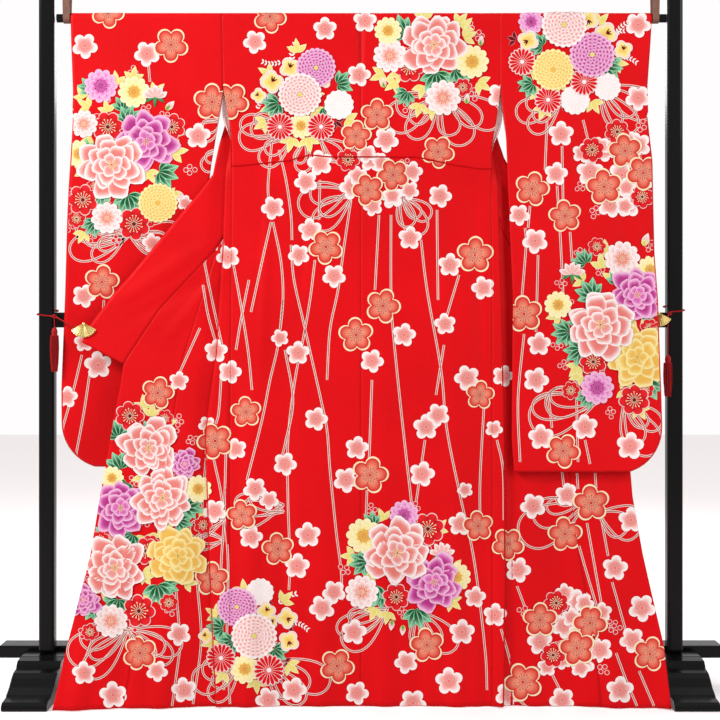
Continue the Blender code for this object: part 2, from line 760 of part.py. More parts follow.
def make_sleeve(side, name, material):
    """Add one sleeve: two layers from the rod down, joined round the outer edge and the bottom."""
    most_lean = REST_LEAN if side == LEFT else None
    build = bmesh.new()

    def point(out, depth, z):
        return build.verts.new(hang(side, out, depth, z, most_lean))

    fronts = []
    rears = []
    levels = sleeve_outline(side)
    for z, inner, outer in levels:
        front_depth, rear_depth = sleeve_depths(side, z)
        outs = [inner + (outer - inner) * step / SLEEVE_STEPS for step in range(SLEEVE_STEPS + 1)]
        fronts.append([point(out, front_depth, z) for out in outs])
        rears.append([point(out, rear_depth, z) for out in outs])
    outer = read_table(SLEEVES[side].outer_out, ROD_HEIGHT)
    inner = sleeve_inner(side, ROD_HEIGHT)
    arch = []
    for step in range(WRAP_STEPS + 1):
        angle = math.pi * step / WRAP_STEPS
        depth = -CLOTH_RADIUS * math.cos(angle)
        z = ROD_HEIGHT + CLOTH_RADIUS * math.sin(angle)
        arch.append([
            point(inner + (outer - inner) * column / SLEEVE_STEPS, depth, z)
            for column in range(SLEEVE_STEPS + 1)
        ])
    grid = fronts + arch + list(reversed(rears))
    for low, high in zip(grid, grid[1:]):
        for column in range(SLEEVE_STEPS):
            build.faces.new((low[column], low[column + 1], high[column + 1], high[column]))

    # Fold round the bottom and up the outer edge to the wrist opening
    bottom_z = SLEEVES[side].bottom
    closed = sum(1 for z, inner, outer in levels if z <= WRIST_FOOT + 0.001)
    pairs = [(fronts[0][column], rears[0][column]) for column in range(SLEEVE_STEPS + 1)]
    pairs += [(fronts[row][-1], rears[row][-1]) for row in range(1, closed)]
    corner = read_table(SLEEVES[side].outer_out, bottom_z) - CORNER_RADIUS
    centre_z = bottom_z + CORNER_RADIUS
    spine = []
    for front, rear in pairs:
        middle = (front.co + rear.co) / 2.0
        out = abs(middle.x)
        if middle.z >= centre_z:
            push = (1.0, 0.0)
        elif out <= corner:
            push = (0.0, -1.0)
        else:
            length = math.hypot(out - corner, middle.z - centre_z)
            push = ((out - corner) / length, (middle.z - centre_z) / length)
        middle.x += side * push[0] * EDGE_ROUND
        middle.z += push[1] * EDGE_ROUND
        spine.append(build.verts.new(middle))
    for index in range(len(pairs) - 1):
        for layer in (0, 1):
            near = (pairs[index][layer], pairs[index + 1][layer])
            build.faces.new((near[0], near[1], spine[index + 1], spine[index]))
    bmesh.ops.recalc_face_normals(build, faces=build.faces)
    mesh = bpy.data.meshes.new(name)
    build.to_mesh(mesh)
    build.free()
    mesh.shade_smooth()
    item = add_object(name, mesh, material)
    add_wall(item)
    return item


# Stand

def add_box(name, low, high, material, bevel, segments=2):
    """Add a box between two corners, with rounded edges."""
    bpy.ops.mesh.primitive_cube_add(size=1.0)
    item = bpy.context.active_object
    item.name = name
    for collection in list(item.users_collection):
        collection.objects.unlink(item)
    bpy.data.collections["furisode"].objects.link(item)
    size = [b - a for a, b in zip(low, high)]
    for vertex in item.data.vertices:
        vertex.co = [vertex.co[axis] * size[axis] for axis in range(3)]
    item.location = [(a + b) / 2.0 for a, b in zip(low, high)]
    item.data.materials.append(material)
    rounding = item.modifiers.new("rounding", "BEVEL")
    rounding.width = bevel
    rounding.segments = segments
    rounding.limit_method = "ANGLE"
    return item


def extrude_outline(name, outline, axis_points, thickness, material, bevel=0.0):
    """Add a prism from an outline, whose points `axis_points` turns into world points."""
    build = bmesh.new()
    low = [build.verts.new(axis_points(point, -thickness / 2.0)) for point in outline]
    face = build.faces.new(low)
    push = [b - a for a, b in zip(axis_points(outline[0], 0.0), axis_points(outline[0], thickness))]
    moved = bmesh.ops.extrude_face_region(build, geom=[face])["geom"]
    corners = [item for item in moved if isinstance(item, bmesh.types.BMVert)]
    bmesh.ops.translate(build, verts=corners, vec=push)
    bmesh.ops.recalc_face_normals(build, faces=build.faces)
    mesh = bpy.data.meshes.new(name)
    build.to_mesh(mesh)
    build.free()
    item = add_object(name, mesh, material)
    if bevel > 0.0:
        rounding = item.modifiers.new("rounding", "BEVEL")
        rounding.width = bevel
        rounding.segments = 2
        rounding.limit_method = "ANGLE"
        rounding.angle_limit = math.radians(40.0)
    return item


def foot_outline():
    """Side outline of a foot as (y, z): stepped nose, sloping back, land and the notch of the bar."""
    front = [
        (-0.2150, 0.0000), (-0.2195, 0.0050), (-0.2180, 0.0130), (-0.2080, 0.0190),
        (-0.1760, 0.0215), (-0.1720, 0.0260), (-0.1480, 0.0370), (-0.1280, 0.0530),
        (-0.1120, 0.0615), (-0.0860, 0.0660), (-0.0840, 0.0715), (-0.0740, 0.0805),
        (-0.0460, LAND_HEIGHT - 0.0010), (-0.0420, LAND_HEIGHT),
    ]
    rear = [(-y, z) for y, z in reversed(front)]
    notch_floor = LOW_BAR_BOTTOM - CLEAR
    notch_front = LOW_BAR_FRONT - CLEAR
    notch_back = LOW_BAR_BACK + CLEAR
    notch = [
        (notch_front, LAND_HEIGHT), (notch_front, notch_floor),
        (notch_back, notch_floor),
    ]
    behind = [point for point in rear if point[1] < notch_floor]
    return front + notch + behind


def make_stand(lacquer, leather):
    """Add the posts, feet, rails, rod and straps."""
    half = POST_SIZE / 2.0
    for side, label in ((LEFT, "left"), (RIGHT, "right")):
        middle = side * POST_OUT
        post_low = (middle - half, -half, LAND_HEIGHT + CLEAR)
        post_high = (middle + half, half, TOP_RAIL_BOTTOM - CLEAR)
        add_box("post_" + label, post_low, post_high, lacquer, POST_ROUND, 3)
        extrude_outline(
            "foot_" + label, foot_outline(),
            lambda point, shift, at=side * FOOT_OUT: (at + shift, point[0], point[1]),
            FOOT_WIDTH, lacquer, 0.0015,
        )
    inner = POST_OUT - half - CLEAR
    deep = MID_RAIL_DEPTH / 2.0
    add_box("mid_rail", (-inner, -deep, MID_RAIL_BOTTOM), (inner, deep, MID_RAIL_TOP), lacquer, 0.003)
    deep = TOP_RAIL_DEPTH / 2.0
    low = (-TOP_RAIL_OUT, -deep, TOP_RAIL_BOTTOM)
    add_box("top_rail", low, (TOP_RAIL_OUT, deep, TOP_RAIL_TOP), lacquer, 0.005)
    bar_low = (-LOW_BAR_OUT, LOW_BAR_FRONT, LOW_BAR_BOTTOM)
    bar_high = (LOW_BAR_OUT, LOW_BAR_BACK, LOW_BAR_TOP)
    add_box("low_bar", bar_low, bar_high, lacquer, 0.004)
    bpy.ops.mesh.primitive_cylinder_add(
        vertices=24, radius=ROD_RADIUS, depth=ROD_RIGHT_END - ROD_LEFT_END,
        location=((ROD_LEFT_END + ROD_RIGHT_END) / 2.0, 0.0, ROD_HEIGHT),
        rotation=(0.0, math.radians(90.0), 0.0),
    )
    rod = bpy.context.active_object
    rod.name = "rod"
    for collection in list(rod.users_collection):
        collection.objects.unlink(rod)
    bpy.data.collections["furisode"].objects.link(rod)
    rod.data.materials.append(lacquer)
    make_strap("strap_left", STRAP_LEFT_MIDDLE, leather)
    make_strap("strap_right", STRAP_RIGHT_MIDDLE, leather)


def make_strap(name, middle, material):
    """Add a flat strap looped round the rod and over the top rail."""
    spare = CLEAR + STRAP_THICKNESS / 2.0 + STRAP_SPARE
    under = ROD_RADIUS + spare
    half = TOP_RAIL_DEPTH / 2.0 + spare
    low = TOP_RAIL_BOTTOM - spare
    high = TOP_RAIL_TOP + spare
    path = []
    for step in range(STRAP_STEPS + 1):
        angle = math.pi * (1.0 + step / STRAP_STEPS)
        path.append((under * math.cos(angle), ROD_HEIGHT + under * math.sin(angle)))
    path += [(half, low), (half, high - STRAP_CORNER), (half - STRAP_CORNER, high)]
    path += [(-half + STRAP_CORNER, high), (-half, high - STRAP_CORNER), (-half, low)]
    build = bmesh.new()
    edges = (middle - STRAP_WIDTH / 2.0, middle + STRAP_WIDTH / 2.0)
    near = [build.verts.new((edges[0], y, z)) for y, z in path]
    far = [build.verts.new((edges[1], y, z)) for y, z in path]
    count = len(path)
    for index in range(count):
        after = (index + 1) % count
        build.faces.new((near[index], near[after], far[after], far[index]))
    bmesh.ops.recalc_face_normals(build, faces=build.faces)
    mesh = bpy.data.meshes.new(name)
    build.to_mesh(mesh)
    build.free()
    item = add_object(name, mesh, material)
    add_wall(item, STRAP_THICKNESS)
    return item


# Clips, cords and tassels

Clip = namedtuple("Clip", "side out z tip fan_out fan_z tie_out tie_y tie_z knot_z")
CLIPS = (
    Clip(LEFT, 0.641, 0.856, 0.6580, 0.652, 0.8725, 0.7275, -0.0335, 0.8890, 0.889),
    Clip(RIGHT, 0.700, 0.885, 0.7228, 0.705, 0.8980, 0.7345, -0.0275, 0.8955, 0.899),
)
Tassel = namedtuple("Tassel", "side out y stem_top head_top foot")
TASSELS = (
    Tassel(LEFT, 0.7275, -0.0335, 0.8862, 0.862, 0.757),
    Tassel(RIGHT, 0.7286, -0.0366, 0.8845, 0.797, 0.698),
)

# Tassel's head from its stem down: radius and distance below the head's top
HEAD_PROFILE = (
    (STEM_RADIUS, -0.001),
    (0.0040, 0.001),
    (0.0068, 0.006),
    (0.0070, 0.012),
    (0.0060, 0.014),
    (0.0074, 0.016),
    (0.0088, HEAD_LENGTH),
    (0.0046, HEAD_LENGTH),
)


def clip_plane(clip):
    """Depth of the collar's corner under a clip, as a function of (out, z)."""
    low, high = spread_collar_rows(clip.side)[:2]
    corner = np.array([low[-1], low[-2], high[-1]])
    rows = np.column_stack((np.ones(3), np.abs(corner[:, 0]), corner[:, 2]))
    base, by_out, by_z = np.linalg.solve(rows, corner[:, 1])
    return lambda out, z: float(base + by_out * out + by_z * z)


def make_clip(clip, label, gold):
    """Add a clip: a springy U that grips the collar's edge, and a pleated fan on its front arm."""
    plane = clip_plane(clip)
    grip = WALL / 2.0 + CLIP_GRIP
    inner = clip.out - CLIP_REACH
    tip = clip.tip
    front = -grip - CLIP_ARM
    rear = grip + CLIP_ARM
    bend = CLIP_ROUND * 0.75
    outline = [
        (inner, front), (tip - CLIP_ROUND, front), (tip, front + bend), (tip, rear - bend),
        (tip - CLIP_ROUND, rear), (inner, rear), (inner, rear - CLIP_ARM),
        (tip - CLIP_TIP, rear - CLIP_ARM), (tip - CLIP_TIP, front + CLIP_ARM),
        (inner, front + CLIP_ARM),
    ]

    def clip_point(point, shift):
        z = clip.z + shift
        return (clip.side * point[0], plane(point[0], z) + point[1], z)

    extrude_outline("clip_" + label, outline, clip_point, CLIP_HEIGHT, gold)
    face = front - CLEAR - PLEAT_RISE - FAN_WALL / 2.0
    count = FAN_PLEATS * 2
    rows = []
    for reach in (FAN_HUB, FAN_RADIUS * 0.55, FAN_RADIUS):
        row = []
        for step in range(count + 1):
            angle = math.radians(-90.0 - FAN_SPREAD / 2.0 + FAN_SPREAD * step / count)
            rise = PLEAT_RISE * (1 if step % 2 else -1)
            out = clip.fan_out + reach * math.cos(angle)
            z = clip.fan_z + reach * math.sin(angle)
            row.append((clip.side * out, plane(out, z) + face + rise, z))
        rows.append(row)
    return add_cloth("fan_" + label, rows, gold, FAN_WALL)


def cord_route(clip):
    """Route of a clip's cord: from the clip to the post and once round it, above the mid rail."""
    half = POST_SIZE / 2.0 + CORD_RADIUS + CORD_CLEAR
    near = POST_OUT - half
    far = POST_OUT + half
    corner = CORD_CORNER
    start = (clip.tip + CORD_RADIUS + CLEAR * 2.0, clip_plane(clip)(clip.tip, clip.z), clip.z)
    tie = (clip.tie_out, clip.tie_y, clip.tie_z)
    turns = [
        (near + corner + 0.004, -half - CORD_CLEAR, 0.001),
        (POST_OUT, -half, 0.002),
        (far - corner, -half, 0.004),
        (far, -half + corner, 0.005),
        (far, half - corner, 0.008),
        (far - corner, half, 0.009),
        (near + corner, half, 0.013),
        (near, half - corner, 0.0145),
        (near, 0.0, 0.0155),
        (near, -half + corner, 0.0150),
    ]
    route = [start, mix(start, tie, 0.55), tie]
    route += [(out, y, clip.knot_z + rise) for out, y, rise in turns]
    return [(clip.side * out, y, z) for out, y, z in route]


def smooth_path(route, per_span):
    """Points of a smooth curve through a route's own points."""
    points = [np.array(point) for point in route]
    ends = [2 * points[0] - points[1]] + points + [2 * points[-1] - points[-2]]
    path = []
    for index in range(1, len(ends) - 2):
        a, b, c, d = ends[index - 1:index + 3]
        for step in range(per_span):
            t = step / per_span
            path.append(0.5 * (
                2 * b + (c - a) * t + (2 * a - 5 * b + 4 * c - d) * t * t
                + (3 * b - a - 3 * c + d) * t ** 3
            ))
    return path + [points[-1]]


def make_cord(name, path, radius, material):
    """Add a round cord along a path."""
    curve = bpy.data.curves.new(name, "CURVE")
    curve.dimensions = "3D"
    curve.bevel_depth = radius
    curve.bevel_resolution = 2
    curve.use_fill_caps = True
    spline = curve.splines.new("POLY")
    spline.points.add(len(path) - 1)
    for point, place in zip(spline.points, path):
        point.co = (*place, 1.0)
    item = bpy.data.objects.new(name, curve)
    item.data.materials.append(material)
    bpy.data.collections["furisode"].objects.link(item)
    return item


def make_tassel(tassel, label, material):
    """Add a tassel: a hanging stem and bound head, with strands drawn from the head's underside."""
    head_top = tassel.head_top
    head_foot = head_top - HEAD_LENGTH
    profile = [(STEM_RADIUS, tassel.stem_top)]
    profile += [(radius, head_top - drop) for radius, drop in HEAD_PROFILE]
    sides = TASSEL_STRANDS // 2
    build = bmesh.new()
    x = tassel.side * tassel.out
    rings = []
    for radius, z in profile:
        ring = []
        for step in range(sides):
            angle = 2.0 * math.pi * step / sides
            place = (x + radius * math.cos(angle), tassel.y + radius * math.sin(angle), z)
            ring.append(build.verts.new(place))
        rings.append(ring)
    centre = build.verts.new((x, tassel.y, head_foot))
    build.faces.new(rings[0])
    roots = []
    for low, high in zip(rings, rings[1:]):
        for step in range(sides):
            after = (step + 1) % sides
            face = build.faces.new((low[step], low[after], high[after], high[step]))
            if high is rings[-1]:
                roots.append(face)
    for step in range(sides):
        roots.append(build.faces.new((rings[-1][step], rings[-1][(step + 1) % sides], centre)))
    bmesh.ops.recalc_face_normals(build, faces=build.faces)
    bmesh.ops.inset_individual(build, faces=roots, thickness=STRAND_GAP / 2.0)
    long = head_foot - tassel.foot
    for stage, (drop, spread) in enumerate(STRAND_STAGES):
        moved = bmesh.ops.extrude_discrete_faces(build, faces=roots)["faces"]
        for number, face in enumerate(moved):
            middle = face.calc_center_median()
            uneven = 1.0 + STRAND_UNEVEN * math.sin(STRAND_PHASE * number + stage)
            push = Vector((
                (middle.x - x) * (spread - 1.0), (middle.y - tassel.y) * (spread - 1.0),
                -long * drop * uneven,
            ))
            bmesh.ops.translate(build, verts=face.verts, vec=push)
        roots = moved
    bmesh.ops.recalc_face_normals(build, faces=build.faces)
    mesh = bpy.data.meshes.new("tassel_" + label)
    build.to_mesh(mesh)
    build.free()
    return add_object("tassel_" + label, mesh, material)


def main():
    """Build the whole part."""
    clean_scene()
    collection = bpy.data.collections.new("furisode")
    bpy.context.scene.collection.children.link(collection)
    names = {LEFT: "left", RIGHT: "right"}
    silk = make_material("red silk", (0.62, 0.01, 0.02), 0.5)
    lining = make_material("pale lining", (0.80, 0.50, 0.50), 0.5)
    for side, label in names.items():
        make_lining(side, "lining_" + label, lining)
        make_body(side, "body_" + label, silk)
        make_okumi(side, "okumi_" + label, silk)
        make_sleeve(side, "sleeve_" + label, silk)
    make_collar(silk)
    lacquer = make_material("black lacquer", (0.008, 0.008, 0.009), 0.18)
    leather = make_material("brown strap", (0.12, 0.05, 0.03), 0.6)
    gold = make_material("gold fan", (0.80, 0.58, 0.22), 0.3, 1.0)
    thread = make_material("red thread", (0.45, 0.02, 0.04), 0.7)
    make_stand(lacquer, leather)
    for clip in CLIPS:
        label = names[clip.side]
        make_clip(clip, label, gold)
        make_cord("cord_" + label, smooth_path(cord_route(clip), 3), CORD_RADIUS, thread)
    for tassel in TASSELS:
        make_tassel(tassel, names[tassel.side], thread)


main()
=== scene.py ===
"""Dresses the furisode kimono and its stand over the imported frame.

Metres, +Z up, the back of the garment towards -Y. Cloth is worked out in the garment's own
coordinates: x along the rod, z the height of the hanging cloth, depth behind or before its plane.
"""

from __future__ import annotations

import logging
import math
import random
from dataclasses import dataclass, field
from enum import Enum
from typing import Callable, Sequence

import bpy
import numpy as np
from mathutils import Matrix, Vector

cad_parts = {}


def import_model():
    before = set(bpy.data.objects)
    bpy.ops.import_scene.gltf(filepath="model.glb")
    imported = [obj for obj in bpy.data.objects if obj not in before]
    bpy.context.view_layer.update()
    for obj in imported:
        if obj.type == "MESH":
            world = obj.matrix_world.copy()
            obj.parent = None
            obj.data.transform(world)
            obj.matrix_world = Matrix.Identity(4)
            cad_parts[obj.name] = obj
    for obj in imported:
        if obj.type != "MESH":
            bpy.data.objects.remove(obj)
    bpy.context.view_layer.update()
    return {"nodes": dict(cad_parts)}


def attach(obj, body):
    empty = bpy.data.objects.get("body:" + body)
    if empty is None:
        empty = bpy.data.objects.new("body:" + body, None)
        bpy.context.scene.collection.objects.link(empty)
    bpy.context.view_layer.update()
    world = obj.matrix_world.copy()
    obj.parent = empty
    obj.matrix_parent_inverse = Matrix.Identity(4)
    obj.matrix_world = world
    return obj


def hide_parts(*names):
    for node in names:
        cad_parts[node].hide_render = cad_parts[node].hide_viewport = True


log = logging.getLogger("furisode")
Array = np.ndarray
Rows = Sequence[Sequence[float]]
ROOT = "root"

# The camera's distance and height, a flat step of the print and the place of the cloth's middle in it
EYE = (3.2, 0.821)
PIXEL = 0.0024
MIDDLE = (360.8, 345.0)

# What the print leaves bare at a hem and at a seam, and how far it runs over the rod
HEM_BARE = 0.001
SEAM_BARE = 0.00005
OVER_ROD = 0.034


def ramp(value: Array, low: float, high: float) -> Array:
    """Return a smooth step from 0 at low to 1 at high."""
    share = np.clip((np.asarray(value, float) - low) / (high - low), 0.0, 1.0)
    return share * share * (3.0 - 2.0 * share)


def read_table(rows: Rows, at: Array, column: int = 1) -> Array:
    """Read a table of rows by its first column, in straight lines between rows.

    Args:
        rows: Rows sorted by their first value.
        at: Where to read the table.
        column: Which value of a row is read.

    Returns:
        The values read.
    """
    return np.interp(at, [row[0] for row in rows], [row[column] for row in rows])


def curve_through(points: Array, per_span: int) -> Array:
    """Return points of a smooth curve through a route's own points.

    Args:
        points: The route, one point a row.
        per_span: Steps between two points of the route.

    Returns:
        The finer route, which ends on the last point.
    """
    points = np.asarray(points, float)
    ends = np.vstack((2 * points[0] - points[1], points, 2 * points[-1] - points[-2]))
    path = []
    for index in range(1, len(ends) - 2):
        a, b, c, d = ends[index - 1:index + 3]
        for step in range(per_span):
            t = step / per_span
            path.append(0.5 * (
                2 * b + (c - a) * t + (2 * a - 5 * b + 4 * c - d) * t * t
                + (3 * b - a - 3 * c + d) * t ** 3
            ))
    return np.array(path + [points[-1]])


# The form of the hanging cloth

@dataclass(frozen=True)
class Fold:
    """A soft upright fold that grows towards the hem, negative for a ridge."""

    x: float
    top: float
    drift: float
    half_width: float
    depth: float


@dataclass(frozen=True)
class Crease:
    """A soft crease between two places of the cloth, deepest in its middle."""

    x0: float
    z0: float
    x1: float
    z1: float
    half_width: float
    depth: float


FOLDS = (
    Fold(-0.640, 0.72, 0.090, 0.038, -0.0070),
    Fold(-0.545, 0.66, 0.060, 0.036, 0.0060),
    Fold(-0.452, 0.95, 0.070, 0.040, -0.0080),
    Fold(-0.365, 0.80, 0.020, 0.034, 0.0050),
    Fold(-0.256, 1.16, 0.006, 0.034, -0.0075),
    Fold(-0.175, 1.02, -0.004, 0.030, 0.0055),
    Fold(-0.092, 0.70, 0.004, 0.034, -0.0045),
    Fold(0.056, 1.10, -0.008, 0.038, -0.0065),
    Fold(0.131, 0.62, 0.000, 0.032, 0.0045),
    Fold(0.217, 1.14, 0.004, 0.034, -0.0070),
    Fold(0.287, 0.98, 0.004, 0.028, 0.0055),
    Fold(0.392, 0.90, -0.030, 0.038, -0.0065),
    Fold(0.480, 0.74, -0.040, 0.036, 0.0050),
    Fold(0.575, 0.86, -0.060, 0.040, -0.0080),
    Fold(0.662, 0.60, -0.050, 0.034, 0.0055),
)

CREASES = (
    Crease(-0.330, 1.080, -0.600, 0.905, 0.030, -0.0030),
    Crease(-0.345, 0.985, -0.560, 0.870, 0.024, 0.0022),
    Crease(-0.300, 1.020, -0.470, 0.820, 0.026, -0.0025),
    Crease(-0.590, 1.500, -0.640, 0.980, 0.030, -0.0016),
    Crease(-0.420, 1.560, -0.450, 1.200, 0.026, 0.0014),
    Crease(0.505, 1.500, 0.490, 1.000, 0.026, -0.0018),
    Crease(0.610, 1.400, 0.640, 0.800, 0.030, 0.0020),
    Crease(0.410, 1.120, 0.400, 0.620, 0.024, -0.0022),
    Crease(0.560, 0.980, 0.530, 0.590, 0.028, -0.0018),
    Crease(-0.215, 1.245, -0.235, 0.700, 0.020, -0.0028),
    Crease(-0.120, 1.250, -0.150, 0.850, 0.018, 0.0020),
    Crease(0.265, 1.225, 0.285, 0.640, 0.018, 0.0030),
    Crease(0.180, 1.240, 0.205, 0.820, 0.020, -0.0022),
    Crease(0.020, 1.250, 0.010, 0.900, 0.016, 0.0012),
    Crease(-0.240, 1.420, -0.120, 1.290, 0.020, -0.0014),
    Crease(0.225, 1.400, 0.110, 1.300, 0.020, -0.0014),
    Crease(-0.060, 0.420, 0.060, 0.180, 0.026, -0.0024),
    Crease(-0.330, 0.700, -0.300, 0.300, 0.018, 0.0024),
    Crease(0.330, 0.560, 0.352, 0.150, 0.020, -0.0028),
    Crease(-0.500, 0.560, -0.560, 0.180, 0.022, -0.0024),
    Crease(0.430, 0.480, 0.500, 0.120, 0.022, 0.0026),
)


@dataclass(frozen=True)
class Drape:
    """The form that all layers of the hanging cloth share, and the rod that carries it."""

    rod_height: float = 1.605
    radius: float = 0.0120
    hem_reach: float = 0.168
    side_reach: float = 0.044
    reach_out: float = 0.72
    power: float = 1.25
    side_power: float = 0.60
    power_out: float = 0.65
    settled_depth: float = -0.0125
    settle_start: float = 0.02
    settle_end: float = 0.20
    full_at: float = 0.8
    widen: float = 0.6
    rested: float = 0.35
    seam_width: float = 0.006
    seam_depth: float = 0.0008
    folds: tuple[Fold, ...] = FOLDS
    creases: tuple[Crease, ...] = CREASES

    def lean(self, x: Array, z: Array) -> Array:
        """Return how far the cloth leans forward, from the rod down to the hem."""
        reach = self.hem_reach + self.side_reach * (x / self.reach_out) ** 2
        power = self.power + self.side_power * (x / self.power_out) ** 2
        return -reach * np.maximum(0.0, 1.0 - z / self.rod_height) ** power

    def ripple(self, x: Array, z: Array) -> Array:
        """Return the depth of the soft folds and creases.

        Args:
            x: Places along the rod.
            z: Heights.

        Returns:
            The depths, negative for a ridge.
        """
        total = np.zeros(np.broadcast(x, z).shape)
        for fold in self.folds:
            rise = np.maximum(0.0, 1.0 - z / fold.top)
            middle = fold.x + fold.drift * (1.0 - rise)
            half = fold.half_width * (1.0 + self.widen * (1.0 - rise))
            away = np.minimum(np.abs(x - middle) / half, 1.0)
            crest = 0.5 + 0.5 * np.cos(math.pi * away)
            total = total + fold.depth * ramp(rise, 0.0, self.full_at) * crest
        for crease in self.creases:
            way = (crease.x1 - crease.x0, crease.z1 - crease.z0)
            long = math.hypot(*way)
            along = ((x - crease.x0) * way[0] + (z - crease.z0) * way[1]) / long ** 2
            across = ((x - crease.x0) * way[1] - (z - crease.z0) * way[0]) / long
            away = np.minimum(np.abs(across) / crease.half_width, 1.0)
            body = np.sin(math.pi * np.clip(along, 0.0, 1.0)) ** 0.8
            total = total + crease.depth * body * (0.5 + 0.5 * np.cos(math.pi * away))
        return total

    def hang(self, x: Array, depth: Array, z: Array, most_lean: float | None = None) -> Array:
        """Return world points of places on the cloth.

        Args:
            x: Places along the rod.
            depth: Depths behind (+) or before (-) the plane of the cloth.
            z: Heights.
            most_lean: The lean at which the cloth rests on something, if it does.

        Returns:
            An array whose last axis is x, y, z.
        """
        forward = self.lean(x, z)
        if most_lean is not None:
            forward = np.maximum(forward, -most_lean)
        y = depth + forward + self.ripple(x, z) * (1.0 if most_lean is None else self.rested)
        return np.stack(np.broadcast_arrays(x, y, z), axis=-1)

    def back_depth(self, z: Array) -> Array:
        """Return the depth of the back, which leaves the rod and settles a little forward."""
        settled = ramp(self.rod_height - z, self.settle_start, self.settle_end)
        return -self.radius + (self.settled_depth + self.radius) * settled

    def round_rod(self, x: Array, angle: float, most_lean: float | None = None) -> Array:
        """Return world points at an angle round the rod, 0 before it and pi behind it."""
        depth = np.full(len(x), -self.radius * math.cos(angle))
        height = np.full(len(x), self.rod_height + self.radius * math.sin(angle))
        return self.hang(x, depth, height, most_lean)

    def over_rod(self, z: Array, depth: Array) -> tuple[Array, Array]:
        """Carry places above the rod's height round it.

        Args:
            z: Heights, which count as length of cloth above the rod's height.
            depth: Depths of the places below the rod's height.

        Returns:
            The depths and heights of the places.
        """
        angle = np.maximum(0.0, z - self.rod_height) / self.radius
        wrapped = z > self.rod_height
        depth = np.where(wrapped, -self.radius * np.cos(angle), depth)
        return depth, np.where(wrapped, self.rod_height + self.radius * np.sin(angle), z)


@dataclass(frozen=True)
class SleeveCut:
    """The cut of a sleeve: its bottom, its outer and inner edges and the depths of its layers."""

    bottom: float
    outer: Rows
    inner: Rows
    front_depth: float
    rear_depth: float
    most_lean: float | None = None
    corner: float = 0.105
    wrist_foot: float = 1.366
    free_below: float = 1.24


